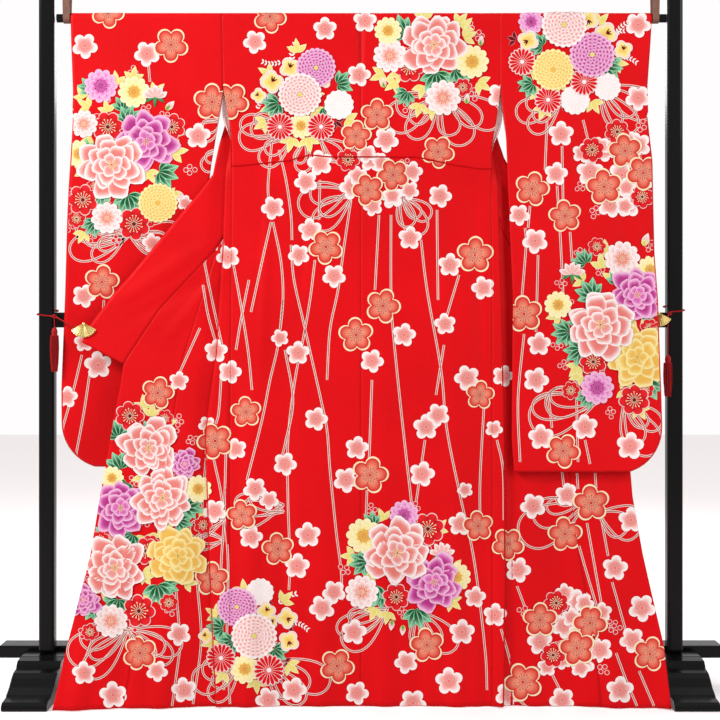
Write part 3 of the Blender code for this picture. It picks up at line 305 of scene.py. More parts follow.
@dataclass(frozen=True)
class HungSide:
    """One side of the garment in side coordinates, where `out` is the distance from the centre."""

    drape: Drape
    sign: int
    label: str
    edge: Rows
    front_edge: Rows
    pleat: Rows
    collar: Rows
    sleeve: SleeveCut
    slit_foot: float
    spread_to: float
    spread_reach: float
    wall: float = 0.0016
    turned_wall: float = 0.85
    sleeve_clear: float = 0.0015
    seam: float = 0.00004
    layer_step: float = 0.0040
    turn_bulge: float = 0.0020
    straight: float = 0.0060
    fold_tight: float = 0.4
    body_width: float = 0.242
    neck_out: float = 0.090
    neck_fold_out: float = 0.105
    arm_seam_foot: float = 1.430
    turn_height: float = 0.085
    slit_gape: float = 0.013
    least_pleat: float = 0.010
    okumi_hem: float = 0.155
    okumi_top: float = 0.135
    okumi_tip: float = 0.004
    tip_row: int = 5
    fine_share: float = 0.35
    fine_past: float = 0.004
    wide_steps: int = 18
    roll: Rows = (
        (1.345, 177.0, 0.101),
        (1.385, 173.0, 0.096),
        (1.430, 165.0, 0.089),
        (1.475, 150.0, 0.080),
        (1.520, 124.0, 0.071),
        (1.555, 86.0, 0.064),
        (1.582, 42.0, 0.059),
    )

    def edge_out(self, z: Array) -> Array:
        """Return the distance of the back's side edge."""
        return read_table(self.edge, z)

    def sleeve_inner(self, z: Array) -> Array:
        """Return the distance of the sleeve's inner edge, sewn to the body above the slit."""
        free = read_table(self.sleeve.inner, z)
        return np.where(z >= self.arm_seam_foot, self.edge_out(z) + self.seam, free)

    def okumi_seam(self, z: Array) -> Array:
        """Return the distance of the seam between body and overlap panel."""
        end, tip = self.collar[0], self.collar[self.tip_row]
        width = self.okumi_hem + (self.okumi_top - self.okumi_hem) * z / end[1]
        low = end[0] - self.okumi_top
        high = tip[0] - self.okumi_tip
        share = (z - end[1]) / (tip[1] - end[1])
        return np.where(z <= end[1], read_table(self.front_edge, z) - width,
                        low + (high - low) * share)

    def collar_seam(self, z: Array) -> Array:
        """Return the distance of the collar's seam where the front is spread open."""
        return read_table([(row[1], row[0]) for row in self.collar], z)

    def front_end(self, z: Array) -> Array:
        """Return the distance of the body front's inner cut edge."""
        tip = self.collar[self.tip_row][1]
        return np.where(z < tip + 0.001, self.okumi_seam(z), self.collar_seam(z))

    def strip_turn(self, z: Array) -> Array:
        """Return how far the strip at the side edge is turned inward, in radians."""
        stops = (self.slit_foot - self.turn_height, self.slit_foot, self.arm_seam_foot)
        return np.radians(np.interp(z, stops, (180.0, 90.0, 0.0)))

    def side_strip(self, z: Array) -> tuple[Array, ...]:
        """Return the strip between side edge and pleat as (out, depth) pairs.

        Args:
            z: Heights.

        Returns:
            Arrays of pairs: the strip's start, end, the crest of its fold and what lies beyond.
        """
        z = np.asarray(z, float)
        foot = self.slit_foot
        share = np.clip((z - foot) / (self.arm_seam_foot - foot), 0.0, 1.0)
        turn = self.strip_turn(z)
        stand_off = self.seam + self.wall * self.turned_wall * np.sin(turn)
        out = self.edge_out(z) + self.slit_gape * np.sin(math.pi * share) + stand_off * (1 - share)
        most = self.sleeve_inner(z) - self.sleeve_clear * (1.0 - share) - self.seam
        out = np.where(share > 0.0, np.minimum(out, most), out)
        back = self.drape.back_depth(z)
        depth = back + (self.drape.radius - back) * share
        width = read_table(self.pleat, z)
        end = (out - width * np.cos(turn), depth + width * np.sin(turn))
        half = turn / 2.0
        beyond = (end[0] - self.straight * np.cos(half), end[1] + self.layer_step * np.sin(half))
        bulge = self.turn_bulge * (turn / math.pi) ** 2
        crest = ((end[0] + beyond[0]) / 2.0 + bulge, (end[1] + beyond[1]) / 2.0)
        return tuple(np.stack(pair, -1) for pair in ((out, depth), end, crest, beyond))

    def fold_out(self, z: Array, pleat_out: Array) -> Array:
        """Return the distance of the front's inner fold, from the cloth's own width.

        Args:
            z: Heights.
            pleat_out: Distances of the pleat's end.

        Returns:
            The fold's distances.
        """
        width = self.body_width - read_table(self.pleat, z)
        middle = (pleat_out + self.front_end(z) - width) / 2.0
        below = np.minimum(pleat_out - self.least_pleat, middle)
        foot = np.array(self.slit_foot)
        at_foot = self.side_strip(foot)[1][0]
        spare = self.body_width - read_table(self.pleat, foot)
        low = min(at_foot - self.least_pleat, (at_foot + self.front_end(foot) - spare) / 2.0)
        share = (z - self.slit_foot) / (self.drape.rod_height - self.slit_foot)
        return np.where(z <= self.slit_foot, below, low + (self.neck_fold_out - low) * share)

    def inner_fold(self, z: Array) -> tuple[Array, ...]:
        """Return the front's inner fold as (out, depth) pairs.

        Args:
            z: Heights.

        Returns:
            Arrays of pairs before the fold, at its crest and behind it, and its roll in radians.
        """
        z = np.asarray(z, float)
        strip = self.side_strip(z)
        out = self.fold_out(z, strip[1][..., 0])
        layer = strip[3][..., 1]
        rows = [(self.slit_foot, 180.0)] + [row[:2] for row in self.roll]
        rows.append((self.drape.rod_height, 0.0))
        roll = np.radians(read_table(rows, z))
        half = roll / 2.0
        behind = (out - self.straight * self.fold_tight * np.cos(half),
                  layer + self.layer_step * np.sin(half))
        bulge = self.turn_bulge * (roll / math.pi) ** 2
        crest = ((out + behind[0]) / 2.0 - bulge, (layer + behind[1]) / 2.0)
        pairs = tuple(np.stack(pair, -1) for pair in ((out, layer), crest, behind))
        return pairs + (roll,)

    def spread_depth(self, out: Array, z: Array) -> Array:
        """Return the depth of the spread front, overlap panel or collar at a place.

        Args:
            out: Distances from the centre.
            z: Heights.

        Returns:
            The depths.
        """
        pleat_out = self.side_strip(z)[1][..., 0]
        layer = self.inner_fold(z)[2][..., 1]
        risen = ramp(z, self.slit_foot - self.turn_height, self.slit_foot + 0.04)
        spread = self.spread_to + (layer - self.layer_step - self.spread_to) * risen
        share = np.clip((out - pleat_out - 0.003) / self.spread_reach, 0.0, 1.0)
        return layer + (spread - layer) * share * share * (3.0 - 2.0 * share)

    def spread_point(self, x: Array, z: Array) -> Array:
        """Return world points of the spread front, overlap panel or collar."""
        return self.drape.hang(x, self.spread_depth(self.sign * x, z), z)

    def front_rows(self, z: Array) -> tuple[Array, Array]:
        """Return the levels of a front from side edge to cut edge.

        Args:
            z: Heights, one for each level.

        Returns:
            Distances and depths, one row for each level.
        """
        strip = self.side_strip(z)
        before, fold_crest, behind, roll = self.inner_fold(z)

        def straight(a: Array, b: Array, steps: int) -> list[Array]:
            """Return even steps from one place to another."""
            return [a + (b - a) * (step / steps) for step in range(1, steps + 1)]

        def bend(a: Array, crest: Array, b: Array, steps: int) -> list[Array]:
            """Return the steps of a bend that passes through its crest."""
            pull = 2.0 * crest - (a + b) / 2.0
            shares = [step / steps for step in range(1, steps + 1)]
            return [(1 - t) ** 2 * a + 2 * t * (1 - t) * pull + t * t * b for t in shares]

        row = [strip[0]] + straight(strip[0], strip[1], 4)
        row += bend(strip[1], strip[2], strip[3], 4)
        row += straight(strip[3], before, 18)
        row += bend(before, fold_crest, behind, 4)
        last = self.front_end(z)
        near = self.fine_share
        first = np.minimum(strip[1][:, 0] + self.fine_past,
                           behind[:, 0] + near * (last - behind[:, 0]))
        used = read_table(self.pleat, z) + strip[1][:, 0] - before[:, 0]
        width = (self.body_width - used - (before[:, 0] - behind[:, 0]))[:, None]
        far = behind + width * np.stack((-np.cos(roll), np.sin(roll)), -1)
        open_out = straight(behind[:, 0], first, 9)
        open_out += straight(first, last, self.wide_steps)
        between = behind + near * (far - behind)
        rolled = straight(behind, between, 9)
        rolled += straight(between, far, self.wide_steps)
        below = (z <= self.slit_foot)[:, None]
        for out, pair in zip(open_out, rolled):
            hung = np.stack((out, self.spread_depth(out, z)), -1)
            row.append(np.where(below, hung, pair))
        levels = np.stack(row, 1)
        return levels[..., 0], levels[..., 1]

    def place_front(self, out: Array, depth: Array, z: Array) -> Array:
        """Return world points of places given in side coordinates."""
        return self.drape.hang(self.sign * out, depth, z)


TUCK = (
    (-0.292, 1.246),
    (-0.173, 1.258),
    (-0.121, 1.272),
    (-0.073, 1.267),
    (0.131, 1.267),
    (0.221, 1.248),
    (0.283, 1.239),
)
TUCK_LIFT = 0.0035
TUCK_EDGE = 0.0012
TUCK_FADE = (0.003, 0.045)


def tuck_depth(x: Array, z: Array) -> Array:
    """Return how far the waist tuck lifts the cloth above it off the cloth below."""
    rise = z - read_table(TUCK, x)
    return TUCK_LIFT * ramp(rise, -TUCK_EDGE, TUCK_EDGE) * (1.0 - ramp(rise, *TUCK_FADE))


LEFT = HungSide(
    Drape(), -1, "left",
    edge=((0.000, 0.2955), (0.580, 0.3035), (0.930, 0.3052), (1.240, 0.3060), (1.300, 0.3065),
          (1.360, 0.3145), (1.430, 0.3276), (1.606, 0.3320)),
    front_edge=((0.000, 0.6910), (0.140, 0.6650), (0.340, 0.6196), (0.470, 0.6024),
                (0.663, 0.5735), (0.812, 0.5470)),
    pleat=((0.000, 0.030), (0.300, 0.045), (0.616, 0.056), (0.800, 0.032), (1.050, 0.018),
           (1.250, 0.012)),
    collar=((0.5560, 0.777, 0.6565, 0.827), (0.5418, 0.800, 0.6400, 0.865),
            (0.5007, 0.863, 0.5840, 0.942), (0.4733, 0.905, 0.5490, 0.980),
            (0.4100, 0.973, 0.4860, 1.058), (0.3432, 1.045, 0.4260, 1.133),
            (0.3060, 1.105, 0.3780, 1.190), (0.2710, 1.165, 0.3515, 1.226),
            (0.2430, 1.245, 0.3386, 1.297), (0.2280, 1.311, 0.3247, 1.353)),
    sleeve=SleeveCut(
        0.531,
        outer=((0.53, 0.7130), (0.72, 0.7138), (0.94, 0.7051), (1.20, 0.6979), (1.337, 0.6907),
               (1.42, 0.6871), (1.55, 0.6925), (1.606, 0.6940)),
        inner=((0.53, 0.3660), (1.20, 0.3620), (1.25, 0.3560), (1.311, 0.3460), (1.374, 0.3372),
               (1.430, 0.3279)),
        front_depth=-0.0035, rear_depth=0.0075, most_lean=0.0205,
    ),
    slit_foot=1.311, spread_to=-0.0105, spread_reach=0.037,
)
RIGHT = HungSide(
    Drape(), 1, "right",
    edge=((0.000, 0.2965), (0.580, 0.3045), (0.930, 0.3085), (1.240, 0.3096), (1.300, 0.3115),
          (1.360, 0.3240), (1.430, 0.3325), (1.606, 0.3330)),
    front_edge=((0.000, 0.6985), (0.140, 0.6880), (0.340, 0.6500), (0.470, 0.6310),
                (0.663, 0.6210), (0.812, 0.6340)),
    pleat=((0.000, 0.024), (0.300, 0.028), (0.616, 0.026), (0.800, 0.022), (1.050, 0.016),
           (1.250, 0.012)),
    collar=((0.6340, 0.812, 0.7190, 0.885), (0.5780, 0.866, 0.6550, 0.947),
            (0.5080, 0.935, 0.5850, 1.016), (0.4400, 1.002, 0.5150, 1.084),
            (0.3760, 1.066, 0.4500, 1.148), (0.3260, 1.118, 0.3950, 1.201),
            (0.2860, 1.163, 0.3580, 1.238), (0.2550, 1.218, 0.3420, 1.268),
            (0.2380, 1.255, 0.3310, 1.303), (0.2260, 1.282, 0.3230, 1.335)),
    sleeve=SleeveCut(
        0.527,
        outer=((0.53, 0.7020), (0.71, 0.7030), (0.93, 0.7015), (1.04, 0.6957), (1.26, 0.6948),
               (1.36, 0.6860), (1.44, 0.6847), (1.54, 0.6923), (1.606, 0.6960)),
        inner=((0.53, 0.3540), (0.60, 0.3495), (0.93, 0.3572), (1.15, 0.3503), (1.25, 0.3470),
               (1.321, 0.3448), (1.430, 0.3328)),
        front_depth=-0.0180, rear_depth=-0.0045,
    ),
    slit_foot=1.282, spread_to=0.0030, spread_reach=0.019,
)
SIDES = (LEFT, RIGHT)


# Materials

class Dye(Enum):
    """Colours of cloth and print, as 8-bit screen values."""

    SCARLET = (226, 10, 20)
    WHITE = (255, 246, 244)
    BLUSH = (252, 216, 212)
    PINK = (247, 184, 178)
    ROSE = (240, 156, 150)
    SALMON = (236, 128, 120)
    APRICOT = (242, 152, 122)
    PEACH = (236, 122, 100)
    CORAL = (228, 86, 72)
    EMBER = (206, 36, 34)
    CREAM = (255, 236, 196)
    POPPY = (232, 36, 42)
    RED = (216, 20, 32)
    GARNET = (160, 10, 26)
    WINE = (110, 10, 32)
    MAUVE = (168, 84, 92)
    OCHRE = (206, 128, 70)
    LILAC = (246, 192, 226)
    VIOLET = (236, 150, 208)
    ORCHID = (218, 104, 184)
    PLUM = (180, 52, 134)
    PALE_LEMON = (255, 246, 196)
    LEMON = (254, 240, 170)
    YELLOW = (250, 222, 126)
    AMBER = (242, 190, 88)
    YELLOW_LEAF = (234, 222, 124)
    PALE_LEAF = (246, 240, 168)
    PALE_MINT = (206, 240, 214)
    MINT = (142, 222, 176)
    LEAF = (40, 150, 92)
    FOREST = (4, 92, 54)
    CORD = (255, 228, 218)
    CORE = (150, 18, 30)

    @property
    def linear(self) -> Array:
        """Return the colour as linear light."""
        value = np.array(self.value, float) / 255.0
        return np.where(value <= 0.04045, value / 12.92, ((value + 0.055) / 1.055) ** 2.4)


class Wire:
    """A socket of a material's nodes, on which Python's operators add nodes."""

    def __init__(self, recipe: "Recipe", socket: bpy.types.NodeSocket) -> None:
        """Wrap a socket of a material in the making."""
        self.recipe = recipe
        self.socket = socket

    @property
    def many(self) -> bool:
        """Tell whether the socket carries a colour or a vector."""
        return self.socket.type in {"RGBA", "VECTOR"}

    def _join(self, operation: str, a: object, b: object) -> "Wire":
        """Add the node of an operator.

        Args:
            operation: The Math or Vector Math operation.
            a: First value or wire.
            b: Second value or wire.

        Returns:
            The node's result.
        """
        if any(isinstance(side, Wire) and side.many for side in (a, b)) or self.many:
            sides = [side if isinstance(side, (Wire, tuple)) else (side,) * 3 for side in (a, b)]
            return self.recipe.node("ShaderNodeVectorMath", {"operation": operation},
                                    {0: sides[0], 1: sides[1]}, out=0)
        return self.recipe.node("ShaderNodeMath", {"operation": operation}, {0: a, 1: b})

    def __add__(self, other: object) -> "Wire":
        """Return the sum."""
        return self._join("ADD", self, other)

    def __radd__(self, other: object) -> "Wire":
        """Return the sum."""
        return self._join("ADD", other, self)

    def __sub__(self, other: object) -> "Wire":
        """Return the difference."""
        return self._join("SUBTRACT", self, other)

    def __rsub__(self, other: object) -> "Wire":
        """Return the difference from another value."""
        return self._join("SUBTRACT", other, self)

    def __mul__(self, other: object) -> "Wire":
        """Return the product."""
        return self._join("MULTIPLY", self, other)

    def __rmul__(self, other: object) -> "Wire":
        """Return the product."""
        return self._join("MULTIPLY", other, self)


class Recipe:
    """A material in the making, with its Principled shader."""

    def __init__(self, name: str) -> None:
        """Start a material of a name."""
        self.material = bpy.data.materials.new(name)
        self.material.use_nodes = True
        self.tree = self.material.node_tree
        self.shader = self.tree.nodes["Principled BSDF"]

    def node(self, kind: str, settings: dict | None = None, inputs: dict | None = None,
             out: int | str = 0) -> Wire:
        """Add a node.

        Args:
            kind: The node's type.
            settings: Its properties, and a ramp's stops as (place, colour) pairs.
            inputs: Values or wires of its sockets, by name or number.
            out: The output that is wanted.

        Returns:
            That output.
        """
        node = self.tree.nodes.new(kind)
        for key, value in (settings or {}).items():
            if key == "stops":
                bar = node.color_ramp.elements
                while len(bar) < len(value):
                    bar.new(0.5)
                for stop, (place, colour) in zip(bar, value):
                    stop.position = place
                    stop.color = (*colour, 1.0)
            else:
                setattr(node, key, value)
        for key, value in (inputs or {}).items():
            self.feed(node.inputs[key], value)
        return Wire(self, node.outputs[out])

    def feed(self, socket: bpy.types.NodeSocket, value: object) -> None:
        """Link a wire to a socket, or set its value."""
        if isinstance(value, Wire):
            self.tree.links.new(value.socket, socket)
        elif socket.type == "RGBA":
            socket.default_value = (*value, 1.0)
        else:
            socket.default_value = value

    def set(self, **values: object) -> "Recipe":
        """Feed the shader's sockets, named with underscores for spaces."""
        for key, value in values.items():
            self.feed(self.shader.inputs[key.replace("_", " ")], value)
        return self

    def mix(self, share: object, a: object, b: object, mode: str = "MIX") -> Wire:
        """Return two colours mixed by a share.

        Args:
            share: Share of the second colour.
            a: First colour.
            b: Second colour.
            mode: How they are mixed.

        Returns:
            The mixed colour.
        """
        node = self.tree.nodes.new("ShaderNodeMix")
        node.data_type = "RGBA"
        node.blend_type = mode
        for key, value in ((0, share), (6, a), (7, b)):
            self.feed(node.inputs[key], value)
        return Wire(self, node.outputs[2])

    def noise(self, scale: float, detail: float = 2.0, stretch: tuple = (1.0, 1.0, 1.0),
              roughness: float = 0.5) -> Wire:
        """Return noise in the object's own metres.

        Args:
            scale: Waves a metre.
            detail: Layers of finer noise.
            stretch: Scale along each axis.
            roughness: Strength of the finer noise.

        Returns:
            The noise, about a half.
        """
        place = self.node("ShaderNodeTexCoord", out="Object")
        place = self.node("ShaderNodeMapping", {}, {"Vector": place, "Scale": stretch})
        return self.node("ShaderNodeTexNoise", {}, {"Vector": place, "Scale": scale,
                                                    "Detail": detail, "Roughness": roughness})

    def bump(self, height: Wire, distance: float, strength: float = 1.0,
             under: Wire | None = None) -> Wire:
        """Return a bumped normal.

        Args:
            height: The relief.
            distance: Its height in metres.
            strength: How much of it shows.
            under: A normal below it.

        Returns:
            The normal.
        """
        inputs = {"Height": height, "Distance": distance, "Strength": strength}
        if under is not None:
            inputs["Normal"] = under
        return self.node("ShaderNodeBump", {}, inputs)


@dataclass(frozen=True)
class Silk:
    """Soft crepe silk, plain or printed, with a fine crinkled ground."""

    name: str
    dye: Dye
    printed: bool = False
    roughness: float = 0.52
    sheen: float = 0.06
    gloss: tuple[float, float, float] = (1.0, 0.30, 0.26)
    tone: float = 0.42
    figured: bool = True

    def make(self) -> bpy.types.Material:
        """Return the material."""
        recipe = Recipe(self.name)
        cloud = recipe.noise(6.0, 3.0)
        crepe = recipe.noise(1400.0, 2.0, (1.0, 1.0, 0.35))
        figure = recipe.noise(70.0, 1.0, (1.0, 1.0, 0.6))
        bloom = recipe.node("ShaderNodeMath", {"operation": "SMOOTH_MIN"},
                            {0: figure, 1: 0.52, 2: 0.06})
        if self.printed:
            ground = recipe.node("ShaderNodeAttribute", {"attribute_name": "Dye"}, out="Color")
        else:
            ground = tuple(self.dye.linear)
        tone = self.tone + cloud * 0.16 + crepe * 0.10
        colour = recipe.mix(1.0, ground, recipe.node(
            "ShaderNodeCombineColor", {}, {0: tone, 1: tone, 2: tone}), "MULTIPLY")
        rough = self.roughness + (crepe - 0.5) * 0.12
        normal = recipe.bump(crepe, 0.00025, 0.5)
        if self.figured:
            rough = rough + (bloom - 0.45) * 0.5
            normal = recipe.bump(bloom, 0.0004, 0.35, normal)
        recipe.set(Base_Color=colour, Roughness=rough, Normal=normal, Sheen_Tint=self.gloss,
                   Sheen_Weight=self.sheen, Sheen_Roughness=0.35, Specular_IOR_Level=0.16,
                   Specular_Tint=self.gloss)
        return recipe.material


@dataclass(frozen=True)
class Lacquer:
    """Deep black gloss lacquer on wood, a little uneven and dusty."""

    name: str = "black-lacquer"
    ground: tuple[float, float, float] = (0.003, 0.0028, 0.003)
    dusty: tuple[float, float, float] = (0.03, 0.027, 0.025)
    roughness: float = 0.13
    coat: float = 0.06

    def make(self) -> bpy.types.Material:
        """Return the material."""
        recipe = Recipe(self.name)
        swell = recipe.noise(22.0, 2.0)
        dust = recipe.noise(700.0, 4.0, roughness=0.7)
        speck = recipe.node("ShaderNodeValToRGB", {"stops": ((0.62, (0, 0, 0)), (0.78, (1, 1, 1)))},
                            {"Fac": dust})
        recipe.set(Base_Color=recipe.mix(speck * 0.2, self.ground, self.dusty),
                   Roughness=self.roughness + swell * 0.10 + dust * 0.05,
                   Normal=recipe.bump(swell, 0.0006, 0.25), Coat_Weight=self.coat,
                   Coat_Roughness=self.coat, Specular_IOR_Level=self.coat)
        return recipe.material


@dataclass(frozen=True)
class Gilt:
    """Polished gilt metal with fine brushed lines."""

    name: str = "gilt"
    dull: tuple[float, float, float] = (0.40, 0.29, 0.09)
    bright: tuple[float, float, float] = (0.62, 0.49, 0.20)
    roughness: float = 0.20

    def make(self) -> bpy.types.Material:
        """Return the material."""
        recipe = Recipe(self.name)
        brush = recipe.noise(900.0, 3.0, (1.0, 1.0, 0.12))
        colour = recipe.mix(recipe.noise(160.0, 3.0), self.dull, self.bright)
        recipe.set(Base_Color=colour, Metallic=1.0, Roughness=self.roughness + brush * 0.16,
                   Normal=recipe.bump(brush, 0.00008, 0.4))
        return recipe.material


@dataclass(frozen=True)
class Thread:
    """Twisted silk thread, dark red."""

    name: str = "red-thread"
    colour: tuple[float, float, float] = (0.34, 0.0015, 0.004)
    shade: float = 0.45
    roughness: float = 0.5

    def make(self) -> bpy.types.Material:
        """Return the material."""
        recipe = Recipe(self.name)
        fibre = recipe.noise(2600.0, 2.0, (1.0, 1.0, 0.3))
        cloud = recipe.noise(120.0, 2.0)
        dark = tuple(self.shade * part for part in self.colour)
        colour = recipe.mix(fibre * 0.7 + cloud * 0.3, dark, self.colour)
        recipe.set(Base_Color=colour, Roughness=self.roughness + fibre * 0.2, Sheen_Weight=0.03,
                   Specular_IOR_Level=0.14, Normal=recipe.bump(fibre, 0.0003, 0.7))
        return recipe.material


@dataclass(frozen=True)
class Hide:
    """Brown strap leather with pores and a worn face."""

    name: str = "brown-strap"
    dark: tuple[float, float, float] = (0.060, 0.019, 0.011)
    worn: tuple[float, float, float] = (0.156, 0.060, 0.033)
    roughness: float = 0.55

    def make(self) -> bpy.types.Material:
        """Return the material."""
        recipe = Recipe(self.name)
        pores = recipe.noise(1500.0, 3.0)
        colour = recipe.mix(recipe.noise(60.0, 4.0), self.dark, self.worn)
        recipe.set(Base_Color=colour, Roughness=self.roughness + pores * 0.2,
                   Normal=recipe.bump(pores, 0.0003, 0.6))
        return recipe.material


def add_object(name: str, data: bpy.types.ID) -> bpy.types.Object:
    """Return a new object of some data, in the scene."""
    item = bpy.data.objects.new(name, data)
    bpy.context.scene.collection.objects.link(item)
    return item


# Cloth shells

@dataclass
class ClothPiece:
    """A cut piece of cloth as a thin shell, silk outside and lining inside."""

    name: str
    rows: list[Array]
    silk: bpy.types.Material
    lining: bpy.types.Material
    thickness: float = 0.0011
    extra_faces: list[tuple[int, ...]] = field(default_factory=list)
    extra_points: list[Array] = field(default_factory=list)

    def build(self) -> bpy.types.Object:
        """Return the piece, which stands for the CAD node of its name."""
        starts = np.cumsum([0] + [len(row) for row in self.rows])
        faces = []
        for index, (low, high) in enumerate(zip(self.rows, self.rows[1:])):
            a, b = int(starts[index]), int(starts[index + 1])
            for column in range(min(len(low), len(high)) - 1):
                faces.append((a + column, a + column + 1, b + column + 1, b + column))
        points = np.vstack(self.rows + ([np.array(self.extra_points)] if self.extra_points else []))
        first = points[list(faces[len(faces) // 50])]
        way = np.cross(first[1] - first[0], first[3] - first[0])
        faces += self.extra_faces
        if way[1] > 0.0:
            faces = [face[::-1] for face in faces]
        mesh = bpy.data.meshes.new(self.name + "-cloth")
        mesh.from_pydata(points.tolist(), [], faces)
        mesh.shade_smooth()
        piece = add_object(self.name + "-cloth", mesh)
        mesh.materials.append(self.silk)
        mesh.materials.append(self.lining)
        wall = piece.modifiers.new("wall", "SOLIDIFY")
        wall.thickness = self.thickness
        wall.offset = 0.0
        wall.material_offset = 1
        wall.material_offset_rim = 0
        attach(piece, ROOT)
        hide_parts(self.name)
        log.info("%s: %d rows", piece.name, len(self.rows))
        return piece


def steps(*stops: tuple[float, float]) -> Array:
    """Return a run of values.

    Args:
        stops: Pairs of a value and the longest step up to the next one.

    Returns:
        The values, the last stop's own among them.
    """
    run = []
    for (low, step), (high, _) in zip(stops, stops[1:]):
        count = max(1, math.ceil(abs(high - low) / step))
        run += [low + (high - low) * index / count for index in range(count)]
    return np.array(run + [stops[-1][0]])


@dataclass
class BodyLength:
    """One length of cloth: up the back, over the rod and down the front, which is spread aside."""

    side: HungSide
    hem: float = 0.003
    tuck_mean: float = 1.260
    neck_columns: int = 6
    rod_from: float = 1.40
    rod_full: float = 1.59
    wrap_steps: int = 8
    tuck_bare: float = 0.0015
    side_bare: float = 0.00015

    def back_point(self, x: Array, z: Array) -> Array:
        """Return world points of the back, also where it lies over the rod."""
        drape = self.side.drape
        groove = drape.seam_depth * np.maximum(0.0, 1.0 - np.abs(x) / drape.seam_width)
        depth, height = drape.over_rod(z, drape.back_depth(z) - tuck_depth(x, z) + groove)
        return drape.hang(x, depth, height)

    def rows(self) -> list[Array]:
        """Return the rows of the whole length."""
        side, drape = self.side, self.side.drape
        outs, _ = side.front_rows(np.array([drape.rod_height]))
        rod = outs[0].copy()
        wide = side.wide_steps
        first = rod[-1 - wide]
        rod[-wide:] = first + (side.neck_out - first) * np.arange(1, wide + 1) / wide
        neck = side.neck_out * (1.0 - np.arange(1, self.neck_columns + 1) / self.neck_columns)
        neck[-1] = side.seam / 2.0
        rod = np.concatenate((rod, neck))
        share = np.arange(len(rod)) / (len(rod) - 1)
        rows = []
        levels = steps((self.hem, 0.013), (1.225, 0.004), (1.246, 0.0012), (1.252, 0.0006),
                       (1.2675, 0.0012), (1.275, 0.004), (1.30, 0.012), (drape.rod_height, 1.0))
        for level in levels:
            near = ramp(level, 1.20, 1.25) * (1.0 - ramp(level, 1.27, 1.33))
            reach = side.edge_out(level)
            even = reach + (side.seam / 2.0 - reach) * share
            blend = ramp(level, self.rod_from, self.rod_full)
            out = even + (rod - even) * blend
            out[0] = reach
            x = side.sign * out
            z = level + near * (read_table(TUCK, x) - self.tuck_mean)
            rows.append(self.back_point(x, z))
        x = side.sign * rod
        for step in range(1, self.wrap_steps + 1):
            rows.append(drape.round_rod(x, math.pi * step / self.wrap_steps))
        heights = steps((1.598, 0.010), (1.28, 0.012), (self.hem, 1.0))
        outs, depths = side.front_rows(heights)
        for index, z in enumerate(heights):
            x = side.sign * outs[index]
            rows.append(drape.hang(x, depths[index], np.full(len(x), z)))
        return rows

    def grounds(self) -> tuple["Ground", ...]:
        """Return the stretches that take print: the back above and below the tuck, and the front."""
        side, drape, sign = self.side, self.side.drape, self.side.sign

        def back(above: bool) -> Ground:
            """Return the back above or below the tuck."""
            def limit(x: Array, z: Array) -> tuple[Array, Array]:
                """Hold places within the back."""
                line = read_table(TUCK, x)
                low, high = (line + self.tuck_bare, drape.rod_height + OVER_ROD) if above else (
                    self.hem + HEM_BARE, line - self.tuck_bare)
                z = np.clip(z, low, high)
                return sign * np.clip(sign * x, SEAM_BARE, side.edge_out(z) - self.side_bare), z
            return Ground(self.back_point, limit)

        def strip_place(x: Array, z: Array) -> Array:
            """Return world points of the strip at the side edge."""
            start, end = side.side_strip(z)[:2]
            width = np.maximum(end[..., 0] - start[..., 0], 1e-6)
            share = np.clip((sign * x - start[..., 0]) / width, 0.0, 1.0)
            depth = start[..., 1] + (end[..., 1] - start[..., 1]) * share
            return drape.hang(x, depth, z)

        def strip_limit(x: Array, z: Array) -> tuple[Array, Array]:
            """Hold places within the strip."""
            z = np.clip(z, self.hem + HEM_BARE, side.slit_foot - side.turn_height)
            start, end = side.side_strip(z)[:2]
            out = np.clip(sign * x, start[..., 0] + 0.0006, end[..., 0] - 0.0003)
            return sign * out, z

        def spread_limit(x: Array, z: Array) -> tuple[Array, Array]:
            """Hold places within the spread front."""
            z = np.clip(z, self.hem + HEM_BARE, side.slit_foot - 0.004)
            low = side.side_strip(z)[1][..., 0] + 0.0035
            high = np.maximum(side.front_end(z) - SEAM_BARE, low)
            return sign * np.clip(sign * x, low, high), z

        return (back(True), back(False), Ground(strip_place, strip_limit),
                Ground(side.spread_point, spread_limit))


@dataclass
class Okumi:
    """The overlap panel of one side, from the hem to its tip under the collar."""

    side: HungSide
    hem: float = 0.003
    top: float = 0.72
    columns: int = 28

    def outer(self, z: Array) -> Array:
        """Return the distance of the panel's outer edge."""
        rows = [(z0, out) for z0, out in self.side.front_edge if z0 < self.top]
        rows.append((self.top, float(read_table(self.side.front_edge, self.top))))
        rows += [(row[1], row[0] - self.side.seam) for row in self.side.collar]
        return read_table(rows, z)

    def rows(self) -> list[Array]:
        """Return the panel's rows."""
        tip = self.side.collar[self.side.tip_row][1]
        rows = []
        for z in steps((self.hem, 0.013), (tip, 1.0)):
            low, high = self.side.okumi_seam(z) + self.side.seam, self.outer(z)
            out = np.linspace(low, high, self.columns + 1)
            level = np.full(len(out), z)
            rows.append(self.side.place_front(out, self.side.spread_depth(out, level), level))
        return rows

    def grounds(self) -> tuple["Ground", ...]:
        """Return the panel as a stretch that takes print."""
        side, sign = self.side, self.side.sign
        tip = side.collar[side.tip_row][1]

        def limit(x: Array, z: Array) -> tuple[Array, Array]:
            """Hold places within the panel."""
            z = np.clip(z, self.hem + HEM_BARE, tip)
            low = side.okumi_seam(z) + side.seam + SEAM_BARE
            high = np.maximum(self.outer(z) - 0.0004, low)
            return sign * np.clip(sign * x, low, high), z

        return (Ground(side.spread_point, limit),)


